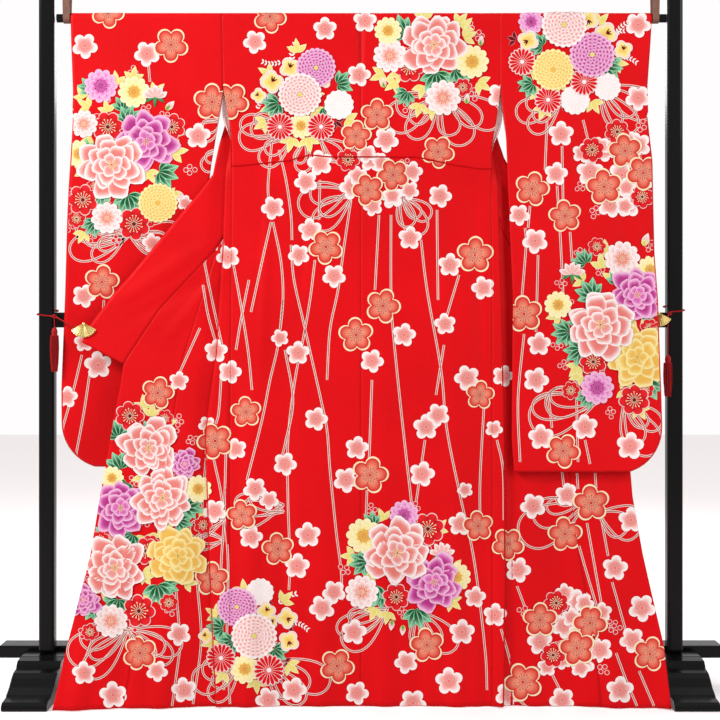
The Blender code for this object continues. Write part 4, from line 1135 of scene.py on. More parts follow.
@dataclass
class Collar:
    """The long band round both fronts and the neck."""

    columns: int = 14
    neck_width: float = 0.055
    droop: float = -70.0
    flare: float = 18.0
    pull: float = 0.45
    stand_off: float = 0.0009

    def spread_rows(self, side: HungSide, per_row: int = 6) -> list[Array]:
        """Return the rows where the front is spread, from the lower end up.

        Args:
            side: Which side of the garment.
            per_row: Steps between two rows of the collar's table.

        Returns:
            The rows of world points.
        """
        cuts = np.array(side.collar)
        rows = []
        for index in range((len(cuts) - 1) * per_row + 1):
            low, share = divmod(index / per_row, 1.0)
            low = int(low)
            cut = cuts[low] if share < 1e-9 else cuts[low] + (cuts[low + 1] - cuts[low]) * share
            out = np.linspace(cut[0] + side.seam, cut[2], self.columns + 1)
            z = np.linspace(cut[1], cut[3], self.columns + 1)
            rows.append(side.place_front(out, side.spread_depth(out, z), z))
        return rows

    def rolled_rows(self, side: HungSide) -> list[Array]:
        """Return the rows behind the shoulder, each at right angles to the seam.

        Args:
            side: Which side of the garment.

        Returns:
            The rows of world points.
        """
        heights = np.array([row[0] for row in side.roll])
        outs, depths = side.front_rows(heights)
        seams = side.place_front(outs[:, -1], depths[:, -1], heights)
        inside = side.place_front(outs[:, -4], depths[:, -4], heights)
        top = side.collar[-1]
        spread = side.spread_depth(np.array(top[0]), np.array(top[1]))
        low = side.place_front(np.array(top[0]), spread, np.array(top[1]))
        drape = side.drape
        high = np.array((side.sign * side.neck_out, drape.radius, drape.rod_height))
        chain = np.vstack((low, seams, high))
        rows = []
        for index, row in enumerate(side.roll):
            along = chain[index + 2] - chain[index]
            along /= np.linalg.norm(along)
            way = seams[index] - inside[index]
            way = way - along * float(np.dot(way, along))
            way /= np.linalg.norm(way)
            reach = self.stand_off + row[2] * np.linspace(0.0, 1.0, self.columns + 1)
            rows.append(seams[index] + way * reach[:, None])
        return rows

    def neck_rows(self) -> list[Array]:
        """Return the rows behind the neck, which hang behind the rod."""
        drape = LEFT.drape
        rows = []
        for share in np.linspace(-1.0, 1.0, 9):
            out = LEFT.neck_out * abs(share)
            droop = math.radians(self.droop + self.flare * abs(share) ** 2)
            inward = -self.pull * abs(share) ** 3
            reach = self.stand_off + self.neck_width * np.linspace(0.0, 1.0, self.columns + 1)
            x = (1.0 if share >= 0.0 else -1.0) * (out + reach * inward)
            rows.append(drape.hang(x, drape.radius + reach * math.cos(droop),
                                   drape.rod_height + reach * math.sin(droop)))
        return rows

    def rows(self) -> list[Array]:
        """Return the rows of the whole band, smooth where it is rolled."""
        left, right = self.spread_rows(LEFT), self.spread_rows(RIGHT)
        middle = [left[-7], left[-1]] + self.rolled_rows(LEFT) + self.neck_rows()
        middle += self.rolled_rows(RIGHT)[::-1] + [right[-1], right[-7]]
        flow = curve_through(np.array(middle).reshape(len(middle), -1), 5)
        flow = flow.reshape(len(flow), self.columns + 1, 3)
        return left[:-1] + list(flow[5:-5]) + right[::-1][1:]


@dataclass
class Sleeve:
    """One sleeve: two layers from the rod down, joined round the outer edge and the bottom."""

    side: HungSide
    columns: int = 56
    edge_round: float = 0.004
    wrap_steps: int = 8
    rear_inset: float = 0.003
    print_bare: float = 0.0003
    mirror_out: float = 0.52

    def free(self, z: Array) -> Array:
        """Return how free the sleeve hangs, from 0 at the armhole's seam to 1."""
        return 1.0 - ramp(z, self.side.sleeve.free_below, self.side.arm_seam_foot)

    def depths(self, z: Array) -> tuple[Array, Array]:
        """Return the depths of the sleeve's back and front layers."""
        cut, drape = self.side.sleeve, self.side.drape
        free = self.free(z)
        back = drape.back_depth(z)
        front = back + (cut.front_depth - back) * free
        return front, drape.radius + (cut.rear_depth - drape.radius) * free

    def outer_out(self, z: Array) -> Array:
        """Return the distance of the outer edge, with the rounded bottom corner."""
        cut = self.side.sleeve
        rise = np.clip((z - cut.bottom) / cut.corner, 0.0, 1.0)
        corner = cut.corner * (1.0 - np.sqrt(np.maximum(0.0, 1.0 - (1.0 - rise) ** 2)))
        inset = np.where(z <= cut.wrist_foot, self.edge_round, 0.0)
        return read_table(cut.outer, z) - corner - inset

    def layer_point(self, x: Array, z: Array, rear: bool) -> Array:
        """Return world points of one layer, also where it lies over the rod.

        Args:
            x: Places along the rod.
            z: Heights.
            rear: Whether it is the layer away from the viewer.

        Returns:
            The points.
        """
        drape = self.side.drape
        depth = self.depths(np.minimum(z, drape.rod_height))[1 if rear else 0]
        height = z
        if not rear:
            depth, height = drape.over_rod(z, depth)
        return drape.hang(x, depth, height, self.side.sleeve.most_lean)

    def piece(self, name: str, silk: bpy.types.Material, lining: bpy.types.Material) -> ClothPiece:
        """Return the sleeve as a piece of cloth.

        Args:
            name: The CAD node that it stands for.
            silk: Finish of its outer face.
            lining: Finish of its inner face.

        Returns:
            The piece, not yet built.
        """
        cut, drape = self.side.sleeve, self.side.drape
        foot = cut.bottom + self.edge_round
        turn = [foot + (cut.corner - self.edge_round) * (1.0 - math.cos(angle))
                for angle in np.radians(np.linspace(0.0, 90.0, 12))]
        levels = np.concatenate((turn[:-1], steps((turn[-1], 0.013), (cut.wrist_foot, 0.013),
                                                  (drape.rod_height - 0.004, 1.0))))
        share = np.linspace(0.0, 1.0, self.columns + 1)
        fronts, rears, closed = [], [], 0
        for z in levels:
            inner = float(self.side.sleeve_inner(z))
            reach = float(self.outer_out(np.array(z)))
            x = self.side.sign * (inner + (reach - inner) * share)
            level = np.full(len(x), z)
            fronts.append(self.layer_point(x, level, False))
            inner += self.rear_inset * self.free(z)
            x = self.side.sign * (inner + (reach - inner) * share)
            rears.append(self.layer_point(x, level, True))
            closed += z <= cut.wrist_foot + 0.0005
        inner = float(self.side.sleeve_inner(drape.rod_height))
        reach = float(read_table(cut.outer, drape.rod_height))
        x = self.side.sign * (inner + (reach - inner) * share)
        arch = [drape.round_rod(x, angle, cut.most_lean)
                for angle in np.linspace(0.0, math.pi, self.wrap_steps + 1)]
        rows = fronts + arch + rears[::-1]
        width = self.columns + 1
        last = len(rows) - 1
        pairs = [(column, last * width + column) for column in range(width)]
        pairs += [(row * width + width - 1, (last - row) * width + width - 1)
                  for row in range(1, closed)]
        points = np.vstack(rows)
        corner_x = float(read_table(cut.outer, cut.bottom)) - cut.corner
        corner_z = cut.bottom + cut.corner
        spine, faces = [], []
        for near, far in pairs:
            middle = (points[near] + points[far]) / 2.0
            out = abs(middle[0])
            push = (1.0, 0.0)
            if middle[2] < corner_z:
                reach = math.hypot(out - corner_x, middle[2] - corner_z)
                push = (0.0, -1.0) if out <= corner_x else (
                    (out - corner_x) / reach, (middle[2] - corner_z) / reach)
            middle[0] += self.side.sign * push[0] * self.edge_round
            middle[2] += push[1] * self.edge_round
            spine.append(middle)
        start = len(points)
        for index, (this, after) in enumerate(zip(pairs, pairs[1:])):
            faces.append((this[0], start + index, start + index + 1, after[0]))
            faces.append((this[1], after[1], start + index + 1, start + index))
        return ClothPiece(name, rows, silk, lining, extra_faces=faces, extra_points=spine)

    def grounds(self) -> tuple["Ground", ...]:
        """Return the sleeve's two faces as stretches that take print."""
        side, sign, cut = self.side, self.side.sign, self.side.sleeve
        top = side.drape.rod_height

        def limit(high: float, rear: bool) -> Callable[[Array, Array], tuple[Array, Array]]:
            """Return what holds places within a layer, up to a height."""
            def hold(x: Array, z: Array) -> tuple[Array, Array]:
                """Hold places within the layer."""
                z = np.clip(z, cut.bottom + self.edge_round + 0.0005, high)
                inset = self.rear_inset * self.free(z) if rear else 0.0
                inner = side.sleeve_inner(z) + inset + self.print_bare
                return sign * np.clip(sign * x, inner, self.outer_out(z) - self.print_bare), z
            return hold

        middle = MIDDLE[0] + sign * self.mirror_out / PIXEL
        return (Ground(lambda x, z: self.layer_point(x, z, False), limit(top + OVER_ROD, False)),
                Ground(lambda x, z: self.layer_point(x, z, True), limit(top - 0.006, True), True,
                       middle))


@dataclass
class LiningStrip:
    """The strip of lining that shows in the slit, on the front's inner face."""

    side: HungSide
    off: float = 0.0019
    reach: float = 0.10

    def rows(self) -> list[Array]:
        """Return the strip's rows."""
        heights = np.linspace(self.side.slit_foot + 0.020, self.side.roll[2][0] - 0.010, 14)
        start, end, _, beyond = self.side.side_strip(heights)
        before = self.side.inner_fold(heights)[0]
        turn = self.side.strip_turn(heights)
        tight = self.off / np.cos(turn / 2.0)
        inside = beyond + (before - beyond) * self.reach
        first = start - self.off * np.stack((np.sin(turn), np.cos(turn)), -1)
        second = end - tight[:, None] * np.stack((np.sin(turn / 2.0), np.cos(turn / 2.0)), -1)
        third = inside - np.array((0.0, self.off))
        rows = []
        for index, z in enumerate(heights):
            bend = curve_through(np.stack((first[index], second[index], third[index])), 6)
            rows.append(self.side.place_front(bend[:, 0], bend[:, 1], np.full(len(bend), z)))
        return rows

    def cut(self) -> "Cut":
        """Return the strip's flat size, its mean width and its length."""
        rows = self.rows()
        widths = [np.linalg.norm(np.diff(row, axis=0), axis=1).sum() for row in rows]
        return Cut(float(np.mean(widths)), float(np.linalg.norm(rows[-1][0] - rows[0][0])))


# The print: motifs are drawn flat, right and down, in steps of 2.4 mm of the hanging cloth

class Motif(Enum):
    """The motifs of the print, from the lowest layer to the topmost."""

    GARNET_LEAF = 0
    SPRIG = 1
    BERRIES = 2
    LEMON_LEAF = 3
    GREEN_LEAF = 4
    WHITE = 5
    PINK_PLUM = 6
    SMALL_PLUM = 7
    RED = 8
    DOUBLE_PINK = 9
    DOUBLE_LILAC = 10
    DOUBLE_YELLOW = 11
    PANSY = 12
    PINWHEEL = 13
    CORAL = 14
    BUD = 15
    WHITE_BUD = 16
    PEONY_YELLOW = 17
    PEONY_PURPLE = 18
    PEONY_PINK = 19
    POMPON_YELLOW = 20
    POMPON_LILAC = 21
    POMPON_PINK = 22


Entry = tuple[Motif, float, float, float, float]


def mingle(a: Array, b: Array, share: Array) -> Array:
    """Return colours mixed by shares."""
    share = np.asarray(share, float)[..., None]
    return a * (1.0 - share) + b * share


def lobed(count: int, ring: float, turn: float = 0.0, per_lobe: int = 8) -> Array:
    """Return a flower's outline of unit radius, a ring of equal circles.

    Args:
        count: Number of lobes.
        ring: Distance of the circles' middles from the flower's.
        turn: Turn in radians.
        per_lobe: Points on each lobe.

    Returns:
        The outline's points.
    """
    steps_round = np.arange(count * per_lobe)
    angle = 2.0 * math.pi * steps_round / (count * per_lobe)
    lobe = (angle + math.pi / count) % (2.0 * math.pi / count) - math.pi / count
    size = 1.0 - ring
    reach = ring * np.cos(lobe) + np.sqrt(np.maximum(size ** 2 - (ring * np.sin(lobe)) ** 2, 0.0))
    return np.stack((reach * np.cos(angle + turn), reach * np.sin(angle + turn)), -1)


@dataclass
class Stencil:
    """Coloured patches of print, gathered before they are laid on the cloth."""

    fine: float = 2.3
    seed: int = 5
    points: list[Array] = field(default_factory=list)
    tones: list[Array] = field(default_factory=list)
    lifts: list[Array] = field(default_factory=list)
    corners: list[Array] = field(default_factory=list)
    count: int = 0

    def __post_init__(self) -> None:
        """Seed the draws."""
        self.draw = random.Random(self.seed)

    def put(self, points: Array, tones: Array, lift: float, corners: Array) -> None:
        """Add one patch.

        Args:
            points: Its points.
            tones: A colour for each point.
            lift: Its layer.
            corners: Triangles between its points.
        """
        self.points.append(points)
        self.tones.append(tones)
        self.lifts.append(np.full(len(points), lift))
        self.corners.append(np.asarray(corners) + self.count)
        self.count += len(points)

    def grid(self, points: Array, tones: Array, lift: float) -> None:
        """Add a patch of rows and columns of points."""
        rows, columns = points.shape[:2]
        a = (np.arange(rows - 1)[:, None] * columns + np.arange(columns - 1)).ravel()
        corners = np.concatenate((np.stack((a, a + 1, a + columns + 1), -1),
                                  np.stack((a, a + columns + 1, a + columns), -1)))
        self.put(points.reshape(-1, 2), tones.reshape(-1, 3), lift, corners)

    def disc(self, middle: Sequence[float], outline: Array, stops: Sequence[tuple[float, Dye]],
             lift: float, shade: tuple[Dye, Array, float] | None = None) -> None:
        """Add a patch whose colour changes from its middle to its outline.

        Args:
            middle: Its middle.
            outline: Its outline about the middle.
            stops: Shares of the way out and their colours, the first at 0 and the last at 1.
            lift: Its layer.
            shade: A darker colour, its strength at each point of the outline and where it starts.
        """
        size = float(np.linalg.norm(outline, axis=1).mean())
        shares, tones = [], []
        for (low, first), (high, second) in zip(stops, stops[1:]):
            longest = self.fine * (1.7 if first is second else 1.0)
            parts = max(1, math.ceil((high - low) * size / longest))
            for part in range(parts):
                shares.append(low + (high - low) * part / parts)
                tones.append(first.linear + (second.linear - first.linear) * part / parts)
        shares.append(1.0)
        tones.append(stops[-1][1].linear)
        around = len(outline)
        rings, colours = [np.zeros((1, 2))], [tones[0][None]]
        for share, tone in list(zip(shares, tones))[1:]:
            rings.append(outline * share)
            colour = np.repeat(tone[None], around, 0)
            if shade is not None and share < 0.9:
                depth = shade[1] * float(ramp(np.array(share), shade[2], 0.88))
                colour = mingle(colour, shade[0].linear, depth)
            colours.append(colour)
        index = np.arange(around)
        after = (index + 1) % around
        corners = [np.stack((np.zeros(around, int), 1 + index, 1 + after), -1)]
        for ring in range(len(rings) - 2):
            a, b = 1 + ring * around, 1 + (ring + 1) * around
            corners.append(np.stack((a + index, b + index, b + after), -1))
            corners.append(np.stack((a + index, b + after, a + after), -1))
        self.put(np.vstack(rings) + np.asarray(middle, float), np.vstack(colours), lift,
                 np.vstack(corners))

    def ribbon(self, path: Array, widths: Array, tones: Sequence[Dye], lift: float) -> None:
        """Add a band along a path.

        Args:
            path: Its middle line.
            widths: Its half width at each point.
            tones: Colours across it, from side to side.
            lift: Its layer.
        """
        way = np.gradient(path, axis=0)
        way /= np.linalg.norm(way, axis=1)[:, None] + 1e-9
        across = np.stack((-way[:, 1], way[:, 0]), -1)
        spread = np.linspace(-1.0, 1.0, len(tones))
        points = path[:, None] + across[:, None] * (spread[None, :] * widths[:, None])[..., None]
        colours = np.repeat(np.array([tone.linear for tone in tones])[None], len(path), 0)
        self.grid(points, colours, lift)

    def lines(self, middle: Sequence[float], inner: float, outer: float, count: int, width: float,
              tone: Dye, lift: float, dot: float = 0.0, turn: float = 0.0) -> None:
        """Add fine lines round a middle, such as stamens, with dots at their ends.

        Args:
            middle: The flower's middle.
            inner: Where the lines start.
            outer: Their reach.
            count: Their number.
            width: Their width.
            tone: Their colour.
            lift: Their layer.
            dot: Radius of the dots, 0 for none.
            turn: Turn of the first line, in radians.
        """
        for number in range(count):
            angle = turn + 2.0 * math.pi * number / count
            reach = outer * (1.0 - 0.16 * (number % 2))
            way = np.array((math.cos(angle), math.sin(angle)))
            shares = np.linspace(inner, reach, 2 + int((reach - inner) / self.fine))
            self.ribbon(np.asarray(middle) + way * shares[:, None], np.full(len(shares), width / 2),
                        (tone, tone), lift)
            if dot:
                self.disc(np.asarray(middle) + way * reach, lobed(1, 0.0, per_lobe=6) * dot,
                          ((0.0, tone), (1.0, tone)), lift)

    def double_line(self, path: Array, lift: float, width: float = 1.12) -> None:
        """Add a cord as two fine pale lines with a darker middle."""
        self.ribbon(path, np.full(len(path), width), (
            Dye.CORD, Dye.CORD, Dye.CORE, Dye.CORE, Dye.CORD, Dye.CORD), lift)

    def leaflet(self, base: Sequence[float], angle: float, length: float, width: float,
                tones: tuple[Dye, Dye, Dye, Dye], lift: float, bow: float = 0.0) -> None:
        """Add a pointed leaflet with a pale vein.

        Args:
            base: Where it starts.
            angle: Its way, in radians.
            length: Its length.
            width: Its half width.
            tones: Colours of its base, its tip, its vein and its rim.
            lift: Its layer.
            bow: Sideways bend of its tip.
        """
        small = length < 7.0
        rows = 4 if small else max(5, math.ceil(length / self.fine))
        t = np.linspace(0.0, 1.0, rows + 1)
        half = width * np.sin(math.pi * np.clip(t, 0.015, 0.985) ** 0.8) ** 0.85
        spread = np.array((-1.0, 0.0, 1.0) if small else
                          (-1.0, -0.85, -0.77, -0.12, 0.0, 0.12, 0.77, 0.85, 1.0))
        along, side = length * t, bow * length * t ** 2
        u = along[:, None] + 0.0 * spread
        v = side[:, None] + half[:, None] * spread
        cos, sin = math.cos(angle), math.sin(angle)
        points = np.stack((base[0] + u * cos - v * sin, base[1] + u * sin + v * cos), -1)
        colour = mingle(tones[0].linear, tones[1].linear, ramp(t, 0.35, 1.0))
        colours = np.repeat(colour[:, None], len(spread), 1)
        colours[:, len(spread) // 2] = tones[2].linear
        if not small:
            colours[:, :2] = tones[3].linear
            colours[:, -2:] = tones[3].linear
        self.grid(points, colours, lift)

    def petal(self, middle: Sequence[float], angle: float, inner: float, outer: float,
              spread: float, tones: tuple[Dye, Dye, Dye], lift: float) -> None:
        """Add a ruffled petal about a flower's middle.

        Args:
            middle: The flower's middle.
            angle: The petal's way, in radians.
            inner: Where it starts.
            outer: Its reach.
            spread: Half of its angle, in radians.
            tones: Colours of its base, its body and its rim.
            lift: Its layer.
        """
        rows = max(4, math.ceil((outer - inner) / self.fine))
        columns = 8
        v = np.concatenate((np.linspace(0.0, 0.9, rows), (0.93, 1.0)))[:, None]
        u = np.linspace(-1.0, 1.0, columns + 1)[None]
        ruffle = 0.042 * np.sin(6.5 * u + self.draw.uniform(0.0, 6.0))
        ruffle = ruffle + 0.060 * np.cos(2.8 * u + self.draw.uniform(-1.4, 1.4))
        reach = inner + (outer * (1.0 - 0.40 * np.abs(u) ** 2.4 + ruffle) - inner) * v
        turn = angle + spread * u * (0.58 + 0.42 * np.sin(0.5 * math.pi * v))
        points = np.stack((middle[0] + reach * np.cos(turn), middle[1] + reach * np.sin(turn)), -1)
        base, body, rim = (tone.linear for tone in tones)
        streak = 0.12 * np.sin(9.0 * u + self.draw.uniform(0.0, 6.0))
        colour = mingle(base, body, np.clip(ramp(v, 0.52, 0.92) + streak, 0.0, 1.0))
        paling = ramp(v, 0.72, 0.97) * (0.78 + 0.22 * (1 - u * u))
        colour = mingle(colour, rim, np.clip(paling, 0.0, 1.0))
        edge = np.clip((np.abs(u) - 0.70) / 0.3, 0.0, 1.0) * 0.75 + 0.0 * v
        edge = np.maximum(edge, np.where(v > 0.92, 1.0, 0.0) + 0.0 * u)
        self.grid(points, mingle(colour, rim, edge), lift)


@dataclass
class Brush:
    """Draws the motifs, each in a few thin layers.

    Each motif's method takes its middle, its radius, its turn in radians, the height of its lowest
    layer and, where it comes in several colours, its tones.
    """

    stencil: Stencil
    step: float = 0.00006

    def layers(self, motif: Motif) -> int:
        """Return how many layers a motif takes."""
        return {"PEONY": 9, "POMPON": 4, "BUD": 2}.get(motif.name.split("_")[0], 3)

    def stamp(self, motif: Motif, x: float, y: float, size: float, turn: float,
              base: float) -> None:
        """Draw one motif.

        Args:
            motif: Which one.
            x: Its place to the right.
            y: Its place down.
            size: Its radius.
            turn: Its turn in radians.
            base: Height of its lowest layer.
        """
        name = motif.name.lower()
        if motif in TONES:
            getattr(self, name.split("_")[0])((x, y), size, turn, base, TONES[motif])
        else:
            getattr(self, name)((x, y), size, turn, base)

    def small_plum(self, middle: tuple, size: float, turn: float, base: float) -> None:
        """Draw a small white plum blossom with a salmon middle."""
        self.stencil.disc(middle, lobed(5, 0.605, turn) * size, (
            (0.0, Dye.PINK), (0.56, Dye.PINK), (0.70, Dye.BLUSH), (0.84, Dye.WHITE),
            (1.0, Dye.WHITE)), base)
        self.stencil.disc(middle, lobed(1, 0.0, per_lobe=18) * size * 0.55, (
            (0.0, Dye.ROSE), (0.76, Dye.ROSE), (1.0, Dye.PINK)), base + self.step)
        self.stencil.lines(middle, 0.18 * size, 0.32 * size, 9, 0.22, Dye.CORAL,
                           base + 2 * self.step, 0.030 * size, turn)
        self.stencil.disc(middle, lobed(1, 0.0, per_lobe=6) * size * 0.065,
                          ((0.0, Dye.EMBER), (1.0, Dye.CORAL)), base + 2 * self.step)

    pink_plum = small_plum

    def coral(self, middle: tuple, size: float, turn: float, base: float) -> None:
        """Draw a coral plum blossom with a cream outline and fine stamens."""
        outline = lobed(5, 0.595, turn, 10) * size
        lobe = np.abs((np.arange(len(outline)) % 10) / 10.0)
        lobe = np.minimum(lobe, 1.0 - lobe) * 2.0
        self.stencil.disc(middle, outline, (
            (0.0, Dye.APRICOT), (0.40, Dye.APRICOT), (0.62, Dye.PEACH), (0.78, Dye.CORAL),
            (0.895, Dye.EMBER), (0.905, Dye.CREAM), (1.0, Dye.CREAM)), base,
            (Dye.EMBER, 0.10 + 0.60 * lobe ** 2, 0.40))
        self.stencil.lines(middle, 0.10 * size, 0.40 * size, 17, 0.40, Dye.MAUVE,
                           base + self.step, 0.036 * size, turn)
        self.stencil.disc(middle, lobed(1, 0.0, per_lobe=8) * size * 0.07,
                          ((0.0, Dye.EMBER), (1.0, Dye.EMBER)), base + 2 * self.step)

    def red(self, middle: tuple, size: float, turn: float, base: float) -> None:
        """Draw a red blossom with a pale outline and bold cream stamens."""
        outline = lobed(7, 0.66, turn, 8) * size
        self.stencil.disc(middle, outline, (
            (0.0, Dye.WINE), (0.20, Dye.GARNET), (0.44, Dye.RED), (0.80, Dye.POPPY),
            (0.935, Dye.POPPY), (0.945, Dye.BLUSH), (1.0, Dye.BLUSH)), base,
            (Dye.GARNET, np.abs(np.cos(3.5 * np.arctan2(outline[:, 1], outline[:, 0]) - 3.5 * turn
                                       + 1.5708)) ** 6 * 0.8, 0.3))
        self.stencil.lines(middle, 0.10 * size, 0.50 * size, 15, 0.42, Dye.CREAM,
                           base + self.step, 0.045 * size, turn)
        self.stencil.disc(middle, lobed(1, 0.0, per_lobe=8) * size * 0.12,
                          ((0.0, Dye.WINE), (1.0, Dye.WINE)), base + 2 * self.step)

    def double(self, middle: tuple, size: float, turn: float, base: float,
               tones: tuple[Dye, Dye, Dye, Dye, Dye]) -> None:
        """Draw a double blossom of two scalloped rings, its colours from the middle outward."""
        heart, inner, body, rim, stamen = tones
        self.stencil.disc(middle, lobed(11, 0.76, turn, 6) * size, (
            (0.0, body), (0.58, inner), (0.72, body), (0.90, rim), (1.0, rim)), base)
        self.stencil.disc(middle, lobed(9, 0.74, turn + 0.3, 6) * size * 0.72, (
            (0.0, heart), (0.44, heart), (0.56, inner), (0.74, body), (0.93, rim), (1.0, rim)),
            base + self.step)
        self.stencil.lines(middle, 0.05 * size, 0.36 * size, 17, 0.28, stamen,
                           base + 2 * self.step, 0.036 * size, turn)

    def white(self, middle: tuple, size: float, turn: float, base: float) -> None:
        """Draw a white scalloped chrysanthemum."""
        self.stencil.disc(middle, lobed(14, 0.79, turn, 5) * size,
                          ((0.0, Dye.WHITE), (0.55, Dye.WHITE), (1.0, Dye.WHITE)), base)
        self.stencil.lines(middle, 0.30 * size, 0.84 * size, 14, 0.24, Dye.BLUSH,
                           base + self.step, 0.0, turn + math.pi / 14)

    def pinwheel(self, middle: tuple, size: float, turn: float, base: float) -> None:
        """Draw a chrysanthemum of narrow red petals on a pale ground."""
        self.stencil.disc(middle, lobed(18, 0.84, turn, 4) * size, (
            (0.0, Dye.WHITE), (0.3, Dye.WHITE), (1.0, Dye.BLUSH)), base)
        for number in range(18):
            angle = turn + 2.0 * math.pi * number / 18
            way = np.array((math.cos(angle), math.sin(angle)))
            shares = np.linspace(0.14, 0.93, 8) * size
            widths = size * np.array((0.018, 0.034, 0.054, 0.074, 0.092, 0.108, 0.100, 0.040))
            self.stencil.ribbon(np.asarray(middle) + way * shares[:, None], widths,
                                (Dye.POPPY, Dye.RED, Dye.POPPY), base + self.step)

    def pansy(self, middle: tuple, size: float, turn: float, base: float) -> None:
        """Draw a small pansy, amber with a pale rim and dark streaks."""
        self.stencil.disc(middle, lobed(4, 0.50, turn, 9) * size, (
            (0.0, Dye.AMBER), (0.45, Dye.YELLOW), (0.72, Dye.LEMON), (0.86, Dye.BLUSH),
            (1.0, Dye.WHITE)), base)
        for number in (-1, 0, 1):
            self.stencil.leaflet(middle, turn + 0.7 + 0.55 * number, 0.52 * size, 0.07 * size,
                                 (Dye.WINE,) * 4, base + self.step)

    def berries(self, middle: tuple, size: float, turn: float, base: float) -> None:
        """Draw a few red buds with pale outlines on a fine stalk."""
        for number, (out, swing) in enumerate(((0.0, 0.0), (0.95, 0.5), (1.0, -0.9), (1.8, -0.2))):
            place = (middle[0] + out * size * math.cos(turn + swing),
                     middle[1] + out * size * math.sin(turn + swing))
            self.stencil.disc(place, lobed(1, 0.0, per_lobe=14) * size * 0.52, (
                (0.0, Dye.POPPY), (0.76, Dye.RED), (0.78, Dye.BLUSH), (1.0, Dye.BLUSH)),
                base + self.step * (number % 2))

    def sprig(self, middle: tuple, size: float, turn: float, base: float) -> None:
        """Draw a curved sprig of white buds."""
        for side in (-1.0, 1.0):
            for number in range(6):
                share = (number + 0.5) / 6.0
                way = turn + 0.5 * (share - 0.5)
                place = (middle[0] + size * (share * 2.0 - 1.0) * math.cos(way),
                         middle[1] + size * (share * 2.0 - 1.0) * math.sin(way))
                self.stencil.leaflet(place, way + side * 0.85, 0.36 * size, 0.085 * size,
                                     (Dye.WHITE, Dye.WHITE, Dye.WHITE, Dye.BLUSH), base)

    def lemon_leaf(self, middle: tuple, size: float, turn: float, base: float) -> None:
        """Draw a group of pale yellow leaves."""
        tones = (Dye.YELLOW_LEAF, Dye.PALE_LEAF, Dye.YELLOW, Dye.PALE_LEMON)
        for number, swing in enumerate((-0.85, 0.85, 0.0)):
            self.stencil.leaflet(middle, turn + swing, size * (1.1 + 0.2 * (number == 2)),
                                 0.29 * size, tones, base + self.step * number, 0.12 * swing)

    def garnet_leaf(self, middle: tuple, size: float, turn: float, base: float) -> None:
        """Draw a spray of dark red leaves with fine pale edges."""
        tones = (Dye.WINE, Dye.GARNET, Dye.WINE, Dye.ROSE)
        for number, swing in enumerate((-1.0, 1.0, 0.0)):
            self.stencil.leaflet(middle, turn + swing, size, 0.26 * size, tones,
                                 base + self.step * number, 0.1 * swing)

    def green_leaf(self, middle: tuple, size: float, turn: float, base: float) -> None:
        """Draw a lobed green leaf, dark at its base and mint at its tips."""
        tones = (Dye.FOREST, Dye.MINT, Dye.PALE_MINT, Dye.MINT)
        for number, swing in enumerate((-1.15, 1.15, -0.58, 0.58, 0.0)):
            self.stencil.leaflet(middle, turn + swing, size * (0.96 + 0.20 * (number > 1)),
                                 0.29 * size, tones, base + self.step * (number // 2), 0.1 * swing)

    def bud(self, middle: tuple, size: float, turn: float, base: float) -> None:
        """Draw a pale bud."""
        self.stencil.leaflet(middle, turn, size * 1.5, 0.42 * size,
                             (Dye.PINK, Dye.WHITE, Dye.BLUSH, Dye.WHITE), base)
        self.stencil.leaflet(middle, turn, size * 0.8, 0.36 * size,
                             (Dye.YELLOW_LEAF, Dye.PALE_LEAF, Dye.LEAF, Dye.LEMON),
                             base + self.step)

    def white_bud(self, middle: tuple, size: float, turn: float, base: float) -> None:
        """Draw a half open white blossom with green sepals, always upright."""
        for number in range(3):
            self.stencil.leaflet(middle, math.radians(90.0) + (number - 1) * 0.9, 1.15 * size,
                                 0.16 * size, (Dye.LEAF, Dye.FOREST, Dye.MINT, Dye.LEAF), base)
        for number, swing in enumerate((-1.2, 1.2, -0.6, 0.6, 0.0)):
            angle = math.radians(-90.0) + swing
            self.stencil.petal((middle[0], middle[1] + 0.3 * size), angle, 0.1 * size,
                               1.15 * size, 0.38, (Dye.PINK, Dye.BLUSH, Dye.WHITE),
                               base + self.step * (1 + number // 2))

    def peony(self, middle: tuple, size: float, turn: float, base: float,
              tones: tuple[Dye, Dye, Dye, Dye]) -> None:
        """Draw a full peony, its colours given for base, body, rim and depth."""
        draw = self.stencil.draw
        lift = base
        for ring, (count, reach, inner) in enumerate((
                (8, 1.02, 0.40), (7, 0.80, 0.26), (6, 0.58, 0.14), (5, 0.36, 0.02))):
            for number in range(count):
                angle = turn + 2.0 * math.pi * (number + 0.5 * ring) / count
                angle += draw.uniform(-0.16, 0.16)
                size_here = size * reach * draw.uniform(0.88, 1.10)
                shades = (tones[3] if ring < 3 else tones[0], tones[0 if ring < 2 else 1],
                          tones[2])
                spread = 1.42 * math.pi / count
                self.stencil.petal(middle, angle, inner * size, size_here, spread, shades,
                                   lift + self.step * (number % 2))
            lift += 2.0 * self.step
        self.stencil.lines(middle, 0.02 * size, 0.13 * size, 9, 0.34, Dye.YELLOW, lift,
                           0.022 * size)

